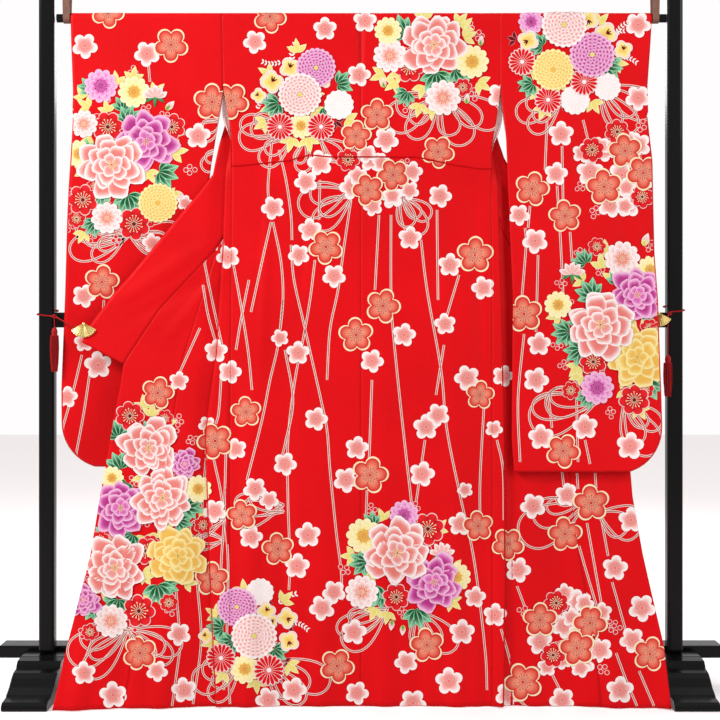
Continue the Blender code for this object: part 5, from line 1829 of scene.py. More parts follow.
    def pompon(self, middle: tuple, size: float, turn: float, base: float,
               tones: tuple[Dye, Dye, Dye, Dye]) -> None:
        """Draw a ball chrysanthemum, its colours given for ground, scale, rim and middle."""
        ground, scale, rim, heart = tones
        self.stencil.disc(middle, lobed(22, 0.86, turn, 4) * size, (
            (0.0, ground), (0.80, ground), (0.93, rim), (1.0, rim)), base)
        for ring, (reach, count) in enumerate((
                (0.86, 24), (0.71, 21), (0.56, 17), (0.42, 13), (0.29, 10), (0.17, 6))):
            half = 0.5 * 2.0 * math.pi * reach / count * 0.80
            for number in range(count):
                angle = turn + 2.0 * math.pi * (number + 0.5 * (ring % 2)) / count
                way = (math.cos(angle), math.sin(angle))
                place = (middle[0] + size * (reach - 0.085) * way[0],
                         middle[1] + size * (reach - 0.085) * way[1])
                self.scale_petal(place, angle, 0.165 * size, half * size, scale, rim,
                                 base + self.step * (1 + ring % 2))
        self.stencil.disc(middle, lobed(1, 0.0, per_lobe=12) * size * 0.11,
                          ((0.0, heart), (1.0, heart)), base + 3 * self.step)

    def scale_petal(self, base: Sequence[float], angle: float, length: float, half: float,
                    scale: Dye, rim: Dye, lift: float) -> None:
        """Add one small cupped petal of a ball chrysanthemum.

        Args:
            base: Where it starts.
            angle: Its way, in radians.
            length: Its length.
            half: Its half width.
            scale: Colour of its body.
            rim: Colour of its rim.
            lift: Its layer.
        """
        t = np.array((0.0, 0.3, 0.72, 1.0))
        width = half * np.array((0.42, 0.90, 0.94, 0.30))
        spread = np.array((-1.0, -0.55, 0.55, 1.0))
        u = (length * t)[:, None] + 0.0 * spread
        v = width[:, None] * spread
        cos, sin = math.cos(angle), math.sin(angle)
        points = np.stack((base[0] + u * cos - v * sin, base[1] + u * sin + v * cos), -1)
        colours = np.repeat(mingle(scale.linear, rim.linear, ramp(t, 0.30, 0.80))[:, None], 4, 1)
        colours[:, 0] = rim.linear
        colours[:, 3] = rim.linear
        self.stencil.grid(points, colours, lift)


TONES = {
    Motif.PEONY_PINK: (Dye.ROSE, Dye.PINK, Dye.WHITE, Dye.SALMON),
    Motif.PEONY_PURPLE: (Dye.ORCHID, Dye.VIOLET, Dye.LILAC, Dye.PLUM),
    Motif.PEONY_YELLOW: (Dye.AMBER, Dye.YELLOW, Dye.LEMON, Dye.AMBER),
    Motif.POMPON_PINK: (Dye.BLUSH, Dye.ROSE, Dye.WHITE, Dye.YELLOW_LEAF),
    Motif.POMPON_LILAC: (Dye.VIOLET, Dye.PLUM, Dye.LILAC, Dye.YELLOW_LEAF),
    Motif.POMPON_YELLOW: (Dye.YELLOW, Dye.AMBER, Dye.LEMON, Dye.AMBER),
    Motif.DOUBLE_PINK: (Dye.SALMON, Dye.PINK, Dye.BLUSH, Dye.WHITE, Dye.CREAM),
    Motif.DOUBLE_LILAC: (Dye.ORCHID, Dye.ORCHID, Dye.VIOLET, Dye.LILAC, Dye.WINE),
    Motif.DOUBLE_YELLOW: (Dye.AMBER, Dye.YELLOW, Dye.LEMON, Dye.PALE_LEMON, Dye.OCHRE),
}


@dataclass(frozen=True)
class Stamps:
    """Places of one motif as right, down and size, turned outward from a bouquet's middle."""

    motif: Motif
    places: tuple[tuple[float, float, float], ...]
    around: tuple[float, float] | None = None


class Greenery(Enum):
    """What fills a bouquet between its large flowers."""

    GARDEN = (Motif.LEMON_LEAF, Motif.BERRIES, Motif.GREEN_LEAF, Motif.LEMON_LEAF,
              Motif.RED, Motif.BERRIES)
    AUTUMN = (Motif.LEMON_LEAF, Motif.GARNET_LEAF, Motif.SPRIG, Motif.LEMON_LEAF,
              Motif.GARNET_LEAF, Motif.PANSY)
    PLUMS = (Motif.SMALL_PLUM, Motif.BERRIES, Motif.SMALL_PLUM, Motif.SMALL_PLUM)


@dataclass(frozen=True)
class Bed:
    """The filling of one bouquet, spread evenly and turned outward."""

    x: float
    y: float
    radius: float
    kind: Greenery
    spacing: float = 10.5

    def entries(self) -> list[Entry]:
        """Return the motifs with their places, sizes and turns."""
        sizes = {Motif.LEMON_LEAF: 11.0, Motif.GREEN_LEAF: 12.5, Motif.BERRIES: 4.6,
                 Motif.GARNET_LEAF: 9.0, Motif.SPRIG: 9.0, Motif.PANSY: 8.0, Motif.RED: 9.5,
                 Motif.SMALL_PLUM: 10.0}
        count = int((self.radius / self.spacing) ** 2)
        made = []
        for number in range(count):
            reach = self.radius * math.sqrt((number + 0.5) / count)
            angle = math.pi * (3.0 - math.sqrt(5.0)) * number
            motif = self.kind.value[number % len(self.kind.value)]
            made.append((motif, self.x + reach * math.cos(angle),
                         self.y + reach * math.sin(angle), sizes[motif], angle))
        return made


@dataclass(frozen=True)
class Layout:
    """The print of one stretch of cloth: motifs, cords as lines and loops of cord."""

    stamps: tuple[Stamps, ...]
    cords: tuple[tuple[tuple[float, float], ...], ...] = ()
    loops: tuple[tuple[float, float, float, float, float], ...] = ()
    beds: tuple[Bed, ...] = ()
    cord_step: float = 3.6
    loop_points: float = 0.75
    loop_fullness: float = 1.35
    loop_turns: tuple[tuple[float, float], ...] = ((1.0, 0.0), (0.74, 13.0))

    def draw_cords(self, stencil: Stencil, step: float) -> None:
        """Draw the cords, then each loop as a large and a smaller one.

        Args:
            stencil: What gathers the patches.
            step: Height of one layer.
        """
        for points in self.cords:
            route = np.array(points, float)
            if len(route) == 2:
                route = np.vstack((route[0], (route[0] + route[1]) / 2.0, route[1]))
            span = np.linalg.norm(np.diff(route, axis=0), axis=1).mean()
            stencil.double_line(curve_through(route, max(2, int(span / self.cord_step))), 0.0)
        for x, y, degrees, length, width in self.loops:
            for number, (share, swing) in enumerate(self.loop_turns):
                t = np.linspace(0.0, 1.0, int(length * share * self.loop_points))
                along = share * length * np.sin(math.pi * t)
                across = share * self.loop_fullness * width * np.sin(2.0 * math.pi * t) / 2
                way = math.radians(degrees + swing)
                path = np.stack((x + along * math.cos(way) - across * math.sin(way),
                                 y + along * math.sin(way) + across * math.cos(way)), -1)
                stencil.double_line(path, step * (1 + number))


M = Motif
SLEEVE_LEFT_PRINT = Layout(
    stamps=(
        Stamps(M.CORAL, ((108, 12, 17), (171, 45, 18), (212, 102, 19), (102, 282, 18))),
        Stamps(M.SMALL_PLUM, ((85, 46, 13), (147, 54, 13), (198, 136, 13), (84, 296, 12),
                              (84, 342, 10), (98, 365, 14), (67, 397, 11), (185, 203, 8),
                              (152, 243, 10), (172, 400, 13), (150, 330, 12))),
        Stamps(M.DOUBLE_LILAC, ((101, 86, 17),)),
        Stamps(M.DOUBLE_YELLOW, ((134, 92, 16), (79, 154, 14))),
        Stamps(M.WHITE_BUD, ((155, 95, 11),)),
        Stamps(M.DOUBLE_PINK, ((84, 124, 14), (107, 218, 16))),
        Stamps(M.RED, ((108, 127, 16), (172, 127, 14), (134, 224, 17), (83, 200, 16))),
        Stamps(M.PEONY_PURPLE, ((146, 142, 30),)),
        Stamps(M.PEONY_PINK, ((112, 165, 32),)),
        Stamps(M.POMPON_YELLOW, ((158, 203, 20),)),
        Stamps(M.GREEN_LEAF, ((128, 122, 15), (160, 172, 17), (100, 190, 16), (128, 196, 18)),
               (120, 158)),
        Stamps(M.LEMON_LEAF, ((133, 80, 11), (84, 98, 10), (108, 112, 10), (172, 152, 13),
                              (66, 132, 9), (84, 232, 10)), (120, 158)),
        Stamps(M.BUD, ((166, 110, 8), (174, 192, 9)), (120, 158)),
        Stamps(M.BERRIES, ((186, 170, 5), (72, 222, 5), (92, 232, 5)), (120, 158)),
    ),
    cords=(((82, 355), (73, 392), (62, 430)), ((90, 372), (84, 412), (76, 455)),
           ((148, 60), (150, 82)), ((104, 300), (100, 350))),
    loops=((130, 236, 165, 62, 20), (130, 236, 185, 54, 16), (130, 236, 15, 42, 16),
           (130, 236, -8, 50, 14), (126, 236, 145, 40, 14), (224, 122, 150, 30, 14),
           (226, 150, 140, 30, 12)),
    beds=(Bed(122, 126, 54, Greenery.GARDEN), Bed(118, 190, 52, Greenery.GARDEN)),
)
FRONT_LEFT_PRINT = Layout(
    stamps=(
        Stamps(M.SMALL_PLUM, ((228, 257, 12), (216, 351, 12), (230, 372, 12), (179, 381, 10),
                              (207, 425, 9), (215, 511, 12), (179, 634, 12), (157, 671, 11),
                              (84, 673, 12), (113, 695, 14), (184, 690, 13))),
        Stamps(M.CORAL, ((158, 393, 17), (215, 441, 19), (212, 579, 18), (140, 653, 18))),
        Stamps(M.RED, ((130, 416, 15), (146, 551, 14), (139, 611, 17), (100, 540, 10),
                       (203, 525, 10), (90, 632, 9))),
        Stamps(M.PEONY_PINK, ((149, 448, 29), (163, 498, 30), (115, 568, 31))),
        Stamps(M.PEONY_PURPLE, ((121, 508, 27), (84, 600, 17), (185, 464, 15))),
        Stamps(M.PEONY_YELLOW, ((178, 556, 29),)),
        Stamps(M.DOUBLE_YELLOW, ((198, 489, 14), (112, 478, 12))),
        Stamps(M.DOUBLE_PINK, ((111, 621, 17),)),
        Stamps(M.GREEN_LEAF, ((118, 436, 15), (120, 468, 15), (186, 506, 16), (132, 535, 15),
                              (158, 586, 18), (118, 600, 16), (94, 606, 14)), (145, 520)),
        Stamps(M.LEMON_LEAF, ((152, 416, 11), (166, 425, 11), (143, 572, 10), (150, 534, 10),
                              (104, 478, 10)), (145, 520)),
        Stamps(M.BERRIES, ((178, 425, 5), (85, 628, 5), (168, 606, 5)), (145, 520)),
    ),
    cords=(((208, 200), (218, 232), (230, 262)), ((204, 260), (212, 300), (222, 345)),
           ((203, 285), (208, 315), (215, 340)), ((200, 328), (190, 350), (180, 372)),
           ((222, 365), (219, 410), (216, 424)), ((214, 460), (222, 500), (228, 560), (227, 640),
                                                  (230, 704)),
           ((206, 458), (201, 520), (197, 575), (201, 640), (193, 704)),
           ((176, 590), (179, 626)), ((226, 452), (224, 520), (221, 580), (224, 690)),
           ((180, 648), (172, 706)), ((92, 640), (84, 662))),
    loops=((128, 628, 152, 66, 26), (128, 630, 132, 62, 20), (128, 630, 18, 56, 22),
           (128, 628, 38, 54, 18), (224, 520, 160, 36, 14), (224, 540, 175, 30, 12)),
    beds=(Bed(150, 450, 44, Greenery.GARDEN), Bed(150, 510, 52, Greenery.GARDEN),
          Bed(136, 575, 52, Greenery.GARDEN)),
)
BACK_PRINT = Layout(
    stamps=(
        Stamps(M.CORAL, (
            (270, 17, 17), (231, 101, 19), (377, 115, 17), (356, 136, 16), (438, 152, 17),
            (326, 247, 18), (475, 255, 19), (383, 306, 18), (356, 335, 18), (246, 412, 16),
            (480, 395, 15), (370, 475, 19), (242, 515, 16), (278, 549, 17), (337, 666, 18),
            (427, 645, 18), (478, 526, 16), (508, 544, 17), (393, 175, 17), (368, 190, 17))),
        Stamps(M.SMALL_PLUM, (
            (255, 42, 12), (325, 29, 12), (365, 21, 12), (359, 75, 12), (386, 140, 13),
            (501, 96, 14), (440, 196, 12), (320, 163, 13), (306, 182, 12), (273, 208, 12),
            (310, 230, 12), (299, 255, 11), (334, 276, 12), (410, 238, 12), (450, 265, 12),
            (483, 288, 12), (404, 335, 12), (445, 324, 11), (372, 361, 12), (280, 338, 9),
            (298, 353, 12), (316, 419, 12), (467, 378, 13), (503, 376, 11), (426, 427, 13),
            (438, 415, 12), (494, 429, 9), (357, 448, 12), (346, 480, 13), (422, 474, 13),
            (465, 490, 8), (285, 464, 12), (236, 449, 11), (255, 489, 12), (269, 500, 10),
            (251, 537, 12), (308, 535, 13), (297, 566, 13), (334, 592, 12), (322, 608, 13),
            (354, 632, 13), (357, 693, 12), (294, 690, 13), (268, 700, 13), (406, 662, 12),
            (462, 632, 13), (449, 681, 14), (413, 703, 14), (475, 597, 11), (495, 615, 12),
            (460, 524, 12), (518, 570, 13))),
        Stamps(M.PINK_PLUM, ((371, 160, 12), (352, 187, 13), (392, 197, 12), (412, 172, 11))),
        Stamps(M.RED, ((348, 160, 12), (409, 67, 16), (428, 529, 17), (396, 597, 14))),
        Stamps(M.BERRIES, ((408, 192, 5), (472, 28, 5), (482, 36, 5), (474, 90, 5),
                           (348, 572, 5), (373, 514, 5), (398, 98, 5), (410, 103, 5))),
        Stamps(M.POMPON_LILAC, ((316, 68, 20), (237, 607, 20))),
        Stamps(M.POMPON_PINK, ((300, 95, 22), (254, 636, 23))),
        Stamps(M.WHITE, ((339, 105, 15), (260, 592, 14))),
        Stamps(M.DOUBLE_YELLOW, ((301, 126, 13), (245, 669, 15))),
        Stamps(M.PINWHEEL, ((280, 127, 14), (321, 127, 14), (221, 658, 15), (269, 670, 16))),
        Stamps(M.PANSY, ((290, 68, 11), (272, 82, 12), (266, 611, 10), (287, 618, 11),
                         (289, 641, 11))),
        Stamps(M.SPRIG, ((292, 54, 11), (272, 64, 10), (286, 597, 11), (261, 102, 9),
                         (300, 624, 10))),
        Stamps(M.GREEN_LEAF, ((278, 104, 15), (338, 84, 14), (324, 108, 13)), (302, 92)),
        Stamps(M.LEMON_LEAF, ((266, 122, 11), (346, 120, 12), (292, 138, 12), (308, 138, 12)),
               (302, 100)),
        Stamps(M.PEONY_PINK, ((434, 45, 32), (397, 553, 33))),
        Stamps(M.PEONY_PURPLE, ((434, 582, 28),)),
        Stamps(M.DOUBLE_YELLOW, ((388, 31, 14), (472, 62, 17), (364, 536, 18), (456, 577, 15))),
        Stamps(M.DOUBLE_PINK, ((390, 56, 17), (443, 98, 18), (362, 592, 17))),
        Stamps(M.DOUBLE_LILAC, ((404, 515, 15),)),
        Stamps(M.WHITE_BUD, ((442, 552, 11),)),
        Stamps(M.GREEN_LEAF, ((404, 32, 16), (436, 74, 18), (456, 70, 15)), (434, 52)),
        Stamps(M.LEMON_LEAF, ((384, 74, 12), (396, 82, 11), (458, 24, 11), (464, 38, 11),
                              (478, 82, 12), (420, 104, 11), (432, 108, 10)), (434, 52)),
        Stamps(M.GREEN_LEAF, ((222, 628, 14), (232, 642, 14), (274, 650, 13)), (252, 632)),
        Stamps(M.LEMON_LEAF, ((214, 642, 11), (224, 672, 11), (256, 680, 11), (288, 664, 11)),
               (252, 632)),
        Stamps(M.GREEN_LEAF, ((366, 562, 15), (416, 610, 17), (376, 586, 17)), (400, 556)),
        Stamps(M.LEMON_LEAF, ((354, 556, 11), (376, 608, 11), (388, 612, 10), (450, 600, 11),
                              (384, 520, 10)), (400, 556)),
        Stamps(M.BUD, ((392, 620, 7), (403, 625, 7), (384, 88, 7), (480, 46, 7), (466, 104, 7)),
               (420, 400)),
    ),
    cords=(
        ((272, 140), (268, 190), (273, 208)), ((271, 222), (262, 262), (251, 312)),
        ((273, 222), (281, 262), (283, 300), (279, 340)),
        ((279, 150), (286, 180), (291, 215), (292, 240)),
        ((291, 245), (294, 280), (303, 320), (312, 360), (321, 400), (327, 430), (330, 470),
         (336, 530), (341, 570), (342, 600)),
        ((320, 180), (319, 220)), ((351, 200), (345, 240), (338, 290), (330, 330), (327, 380)),
        ((315, 260), (310, 300), (303, 340), (295, 380), (288, 440), (288, 500), (290, 560),
         (289, 590)),
        ((249, 280), (241, 320), (236, 350)), ((233, 262), (240, 300), (248, 350), (252, 390)),
        ((283, 300), (278, 345), (270, 380), (262, 420), (247, 480)),
        ((285, 350), (293, 400), (286, 440), (281, 460)), ((379, 215), (375, 290)),
        ((391, 215), (391, 290), (393, 330), (401, 410), (410, 490), (413, 515)),
        ((421, 240), (427, 290), (441, 370), (447, 430), (461, 500), (474, 560), (485, 650),
         (487, 690)),
        ((437, 210), (438, 300)), ((459, 275), (447, 315)), ((444, 345), (436, 395)),
        ((425, 440), (415, 510)), ((484, 405), (480, 480), (480, 520)),
        ((497, 440), (503, 470), (504, 520)), ((367, 490), (366, 520)), ((372, 380), (369, 465)),
    ),
    loops=(
        (288, 128, 165, 50, 20), (288, 130, 188, 48, 16), (292, 138, 140, 40, 16),
        (320, 138, 35, 40, 16), (305, 142, 95, 30, 12), (438, 96, 150, 58, 24),
        (438, 98, 125, 48, 18), (442, 98, 62, 52, 22), (445, 94, 28, 62, 22),
        (350, 190, 160, 54, 22), (352, 196, 140, 48, 18), (400, 194, 62, 46, 18),
        (402, 198, 35, 34, 14), (268, 660, 22, 66, 24), (268, 664, 48, 52, 18),
        (240, 662, 152, 52, 22), (240, 664, 128, 46, 16), (284, 505, 165, 52, 20),
        (284, 512, 192, 50, 16), (388, 608, 138, 58, 22), (388, 612, 160, 54, 16),
        (418, 610, 48, 54, 20), (418, 612, 78, 44, 16),
    ),
    beds=(Bed(303, 94, 45, Greenery.AUTUMN), Bed(430, 60, 47, Greenery.GARDEN),
          Bed(380, 180, 34, Greenery.PLUMS), Bed(250, 634, 46, Greenery.AUTUMN),
          Bed(404, 562, 52, Greenery.GARDEN)),
)
SLEEVE_RIGHT_PRINT = Layout(
    stamps=(
        Stamps(M.SMALL_PLUM, (
            (638, 25, 13), (638, 98, 13), (561, 134, 13), (556, 174, 12), (519, 215, 11),
            (535, 241, 13), (539, 344, 12), (536, 380, 13), (541, 437, 13), (585, 427, 13),
            (630, 446, 14))),
        Stamps(M.CORAL, ((532, 189, 18), (565, 216, 17), (524, 314, 19), (563, 451, 18),
                         (625, 151, 18), (604, 187, 19), (643, 173, 18))),
        Stamps(M.POMPON_PINK, ((564, 25, 23),)),
        Stamps(M.POMPON_LILAC, ((592, 55, 23),)),
        Stamps(M.POMPON_YELLOW, ((553, 70, 21),)),
        Stamps(M.PINWHEEL, ((522, 62, 14), (584, 82, 14), (548, 100, 14))),
        Stamps(M.WHITE, ((575, 100, 15), (607, 87, 14))),
        Stamps(M.PANSY, ((606, 34, 12), (528, 41, 11), (623, 50, 10), (588, 20, 11))),
        Stamps(M.DOUBLE_LILAC, ((531, 22, 13),)),
        Stamps(M.SPRIG, ((620, 28, 10), (628, 58, 10))),
        Stamps(M.GREEN_LEAF, ((542, 46, 13), (606, 66, 15), (532, 84, 13)), (572, 60)),
        Stamps(M.LEMON_LEAF, ((574, 40, 12), (604, 78, 11), (540, 90, 11), (530, 52, 10)),
               (572, 60)),
        Stamps(M.PINK_PLUM, ((590, 172, 14), (622, 175, 14), (638, 145, 13), (610, 205, 13),
                             (628, 205, 13), (606, 150, 12))),
        Stamps(M.RED, ((617, 132, 13), (592, 150, 13), (642, 197, 12), (593, 362, 14),
                       (634, 400, 16), (656, 330, 8))),
        Stamps(M.BERRIES, ((640, 130, 5), (592, 172, 5), (596, 208, 5), (580, 250, 5),
                           (575, 370, 5)), (618, 168)),
        Stamps(M.DOUBLE_PINK, ((622, 259, 18),)),
        Stamps(M.DOUBLE_YELLOW, ((650, 270, 14), (558, 305, 14))),
        Stamps(M.PEONY_PURPLE, ((637, 295, 27),)),
        Stamps(M.WHITE_BUD, ((572, 272, 11),)),
        Stamps(M.PEONY_PINK, ((600, 325, 34),)),
        Stamps(M.PEONY_YELLOW, ((637, 357, 32),)),
        Stamps(M.DOUBLE_LILAC, ((597, 388, 17),)),
        Stamps(M.BUD, ((643, 246, 9),), (612, 325)),
        Stamps(M.GREEN_LEAF, ((592, 296, 16), (568, 332, 15), (580, 350, 15), (646, 382, 18)),
               (612, 325)),
        Stamps(M.LEMON_LEAF, ((606, 256, 13), (602, 268, 12), (612, 280, 11), (578, 366, 11),
                              (624, 390, 10)), (612, 325)),
    ),
    cords=(((525, 228), (526, 245), (522, 296)), ((538, 255), (536, 332)),
           ((562, 146), (563, 200)), ((557, 186), (560, 232), (563, 292)),
           ((547, 120), (545, 170)), ((530, 206), (528, 228)), ((524, 334), (518, 400), (520, 462)),
           ((570, 232), (572, 262)), ((576, 380), (578, 462)), ((548, 394), (552, 428)),
           ((585, 440), (590, 464)), ((583, 120), (588, 140))),
    loops=((600, 86, 25, 60, 24), (600, 90, 50, 54, 18), (560, 100, 160, 46, 18),
           (560, 104, 138, 40, 16), (600, 398, 160, 74, 30), (600, 402, 175, 68, 20),
           (624, 402, 60, 60, 24), (624, 402, 35, 44, 16)),
    beds=(Bed(566, 56, 56, Greenery.AUTUMN), Bed(614, 172, 38, Greenery.PLUMS),
          Bed(616, 300, 60, Greenery.GARDEN), Bed(612, 362, 54, Greenery.GARDEN)),
)
FRONT_RIGHT_PRINT = Layout(
    stamps=(
        Stamps(M.SMALL_PLUM, (
            (533, 506, 13), (567, 495, 12), (631, 520, 13), (615, 568, 13), (642, 608, 14),
            (632, 640, 13), (620, 690, 14), (508, 695, 13), (562, 700, 13))),
        Stamps(M.CORAL, ((591, 503, 19), (565, 534, 18), (650, 654, 18), (523, 682, 20),
                         (540, 620, 18), (590, 623, 18), (577, 648, 19))),
        Stamps(M.PINK_PLUM, ((564, 626, 13), (540, 642, 13), (600, 650, 13), (583, 664, 12),
                             (578, 602, 13), (602, 612, 10))),
        Stamps(M.RED, ((556, 603, 13), (553, 655, 13))),
        Stamps(M.BERRIES, ((611, 630, 5), (600, 667, 5), (528, 612, 5)), (570, 632)),
    ),
    cords=(((587, 523), (595, 568), (603, 613)), ((579, 546), (588, 577), (597, 607)),
           ((602, 523), (608, 556)), ((612, 582), (619, 607), (626, 632)),
           ((616, 653), (626, 680), (637, 706)), ((639, 671), (647, 690), (654, 706)),
           ((549, 668), (556, 682), (562, 694)), ((517, 586), (526, 610)),
           ((562, 472), (564, 488)), ((577, 473), (578, 489)), ((595, 473), (596, 488)),
           ((519, 700), (528, 708)), ((501, 629), (507, 650), (512, 669))),
    loops=((586, 503, 152, 74, 30), (586, 500, 168, 40, 12), (598, 512, 20, 46, 26)),
    beds=(Bed(570, 634, 42, Greenery.PLUMS),),
)


@dataclass(frozen=True)
class Ground:
    """A stretch of cloth that takes print: how its places become points, and its limits."""

    place: Callable[[Array, Array], Array]
    limit: Callable[[Array, Array], tuple[Array, Array]]
    behind: bool = False
    mirror: float | None = None


@dataclass
class PrintedCloth:
    """The print of one cut piece, a thin layer of dye close over its silk."""

    owner: str
    grounds: tuple[Ground, ...]
    layouts: tuple[Layout, ...]
    seed: int = 7
    base: float = 0.00085
    between: float = 0.00010
    large: float = 13.0
    hidden: float = 0.85
    margin: float = 1.1
    feel: float = 0.0006
    least_area: float = 1e-10

    def entries(self, draw: random.Random) -> list[Entry]:
        """Return all motifs, those of a bed only where no large flower hides them.

        Args:
            draw: Draws the turns of the motifs that no bouquet turns.

        Returns:
            The motifs with their places, sizes and turns.
        """
        large = [place for layout in self.layouts for group in layout.stamps
                 for place in group.places if place[2] >= self.large]
        entries = []
        for motif, x, y, size, turn in (entry for layout in self.layouts for bed in layout.beds
                                        for entry in bed.entries()):
            a, b = x + 0.5 * size * math.cos(turn), y + 0.5 * size * math.sin(turn)
            if all(math.hypot(a - c, b - d) + 0.5 * size > self.hidden * reach
                   for c, d, reach in large):
                entries.append((motif, x, y, size, turn))
        for group in (group for layout in self.layouts for group in layout.stamps):
            for x, y, size in group.places:
                turn = draw.uniform(-math.pi, math.pi)
                if group.around is not None:
                    turn = math.atan2(y - group.around[1], x - group.around[0])
                entries.append((group.motif, x, y, size, turn))
        return entries

    def stencil(self) -> Stencil:
        """Return the print as flat patches, each motif just over those it overlaps."""
        stencil = Stencil(seed=self.seed)
        brush = Brush(stencil)
        for layout in self.layouts:
            layout.draw_cords(stencil, brush.step)
        stamped: list[tuple[float, float, float, float]] = []
        for motif, x, y, size, turn in sorted(self.entries(stencil.draw),
                                              key=lambda entry: entry[0].value):
            under = [top for a, b, reach, top in stamped
                     if math.hypot(a - x, b - y) < reach + size * self.margin]
            lift = max(under, default=2.0 * brush.step) + self.between
            brush.stamp(motif, x, y, size, turn, lift)
            top = lift + brush.step * (brush.layers(motif) - 1)
            stamped.append((x, y, size * self.margin, top))
        return stencil

    def on_cloth(self, ground: Ground, spots: Array) -> tuple[Array, Array]:
        """Return where flat places of the print lie on the hanging cloth.

        Args:
            ground: The stretch of cloth.
            spots: Places right and down.

        Returns:
            The places along the rod and the heights.
        """
        right = spots[:, 0]
        if ground.mirror is not None:
            right = 2.0 * ground.mirror - right
        depth = np.zeros(len(spots))
        for _ in range(4):
            scale = PIXEL * (1.0 + depth / EYE[0])
            x = (right - MIDDLE[0]) * scale
            z = EYE[1] - (spots[:, 1] - MIDDLE[1]) * scale
            depth = ground.place(x, z)[..., 1]
        return x, z

    def build(self, silk: bpy.types.Material) -> bpy.types.Object:
        """Return the print as one mesh over its cloth."""
        stencil = self.stencil()
        spots = np.vstack(stencil.points)
        tones = np.vstack(stencil.tones)
        lifts = np.concatenate(stencil.lifts)
        corners = np.vstack(stencil.corners)
        points, faces, colours, flats, start = [], [], [], [], 0
        for ground in self.grounds:
            x, z = self.on_cloth(ground, spots)
            near_x, near_z = ground.limit(x, z)
            out = np.hypot(near_x - x, near_z - z) > 1e-7
            kept = corners[~out[corners].all(1)]
            used, again = np.unique(kept, return_inverse=True)
            kept = again.reshape(kept.shape)
            x, z = near_x[used], near_z[used]
            a, b, c = (np.stack((x, z), -1)[kept[:, corner]] for corner in range(3))
            first, second = b - a, c - a
            area = first[:, 0] * second[:, 1] - first[:, 1] * second[:, 0]
            flip = (area < 0.0) != ground.behind
            kept[flip] = kept[flip][:, ::-1]
            kept = kept[np.abs(area) > self.least_area]
            right = ground.place(x + self.feel, z) - ground.place(x - self.feel, z)
            up = ground.place(x, z + self.feel) - ground.place(x, z - self.feel)
            normal = np.cross(right, up)
            normal /= np.linalg.norm(normal, axis=1)[:, None]
            if ground.behind:
                normal = -normal
            points.append(ground.place(x, z) + normal * (self.base + lifts[used])[:, None])
            faces.append(kept + start)
            colours.append(tones[used])
            start += len(x)
        points, faces, colours = np.vstack(points), np.vstack(faces), np.vstack(colours)
        mesh = bpy.data.meshes.new(self.owner + "-print")
        mesh.from_pydata(points.tolist(), [], faces.tolist())
        mesh.shade_smooth()
        dye = mesh.color_attributes.new("Dye", "FLOAT_COLOR", "POINT")
        rgba = np.ones((len(points), 4), np.float32)
        rgba[:, :3] = colours
        dye.data.foreach_set("color", rgba.ravel())
        mesh.materials.append(silk)
        item = add_object(self.owner + "-print", mesh)
        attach(item, ROOT)
        log.info("%s: %d triangles", item.name, len(faces))
        return item


# Stand, clips, cords and tassels

def ring_quads(rings: int, sides: int, closed: bool = False) -> list[tuple[int, ...]]:
    """Return the faces between rings of points.

    Args:
        rings: Number of rings.
        sides: Points of each ring.
        closed: Whether faces also join the last ring to the first.

    Returns:
        The faces, four points each.
    """
    quads = []
    for ring in range(rings if closed else rings - 1):
        here, after = ring * sides, (ring + 1) % rings * sides
        for side in range(sides):
            turn = (side + 1) % sides
            quads.append((here + side, here + turn, after + turn, after + side))
    return quads


class Mesh:
    """A joined mesh in the making."""

    def __init__(self, name: str) -> None:
        """Start an empty mesh of a name."""
        self.name = name
        self.points: list[Array] = []
        self.faces: list[tuple[int, ...]] = []

    def add(self, points: Sequence, faces: Sequence[Sequence[int]]) -> None:
        """Add points and the faces between them."""
        start = len(self.points)
        self.points += [tuple(point) for point in points]
        self.faces += [tuple(start + corner for corner in face) for face in faces]

    def tube(self, path: Array, radius: float | Sequence[float], sides: int = 8,
             closed: bool = False) -> None:
        """Add a round tube along a path.

        Args:
            path: Its points.
            radius: One radius, or one for each point.
            sides: Sides of its section.
            closed: Whether it ends where it starts.
        """
        path = np.asarray(path, float)
        radii = np.full(len(path), radius) if np.isscalar(radius) else np.asarray(radius)
        way = np.gradient(path, axis=0)
        if closed:
            way = np.roll(path, -1, 0) - np.roll(path, 1, 0)
        way /= np.linalg.norm(way, axis=1)[:, None] + 1e-12
        up = np.array((0.0, 1.0, 0.0)) if abs(way[0][1]) < 0.8 else np.array((1.0, 0.0, 0.0))
        points = []
        for place, along, size in zip(path, way, radii):
            up = up - along * np.dot(up, along)
            up /= np.linalg.norm(up)
            across = np.cross(along, up)
            for side in range(sides):
                angle = 2.0 * math.pi * side / sides
                points.append(place + size * (math.cos(angle) * up + math.sin(angle) * across))
        faces = ring_quads(len(path), sides, closed)
        if not closed:
            faces.append(tuple(range(sides))[::-1])
            faces.append(tuple((len(path) - 1) * sides + side for side in range(sides)))
        self.add(points, faces)

    def build(self, material: bpy.types.Material, slot: str, ride: bool = True,
              smooth_angle: float | None = 50.0) -> bpy.types.Object:
        """Return the mesh as an object.

        Args:
            material: Its finish.
            slot: Not used.
            ride: Whether it rides on the body.
            smooth_angle: Edges flatter than this, in degrees, are shaded smooth.

        Returns:
            The object.
        """
        mesh = bpy.data.meshes.new(self.name)
        mesh.from_pydata([tuple(map(float, point)) for point in self.points], [], self.faces)
        mesh.shade_smooth()
        if smooth_angle is not None:
            mesh.set_sharp_from_angle(angle=math.radians(smooth_angle))
        mesh.materials.append(material)
        item = add_object(self.name, mesh)
        if ride:
            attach(item, ROOT)
        return item


@dataclass(frozen=True)
class Finishes:
    """The materials of the whole display."""

    silk: bpy.types.Material
    lining: bpy.types.Material
    lacquer: bpy.types.Material
    gilt: bpy.types.Material
    thread: bpy.types.Material
    hide: bpy.types.Material


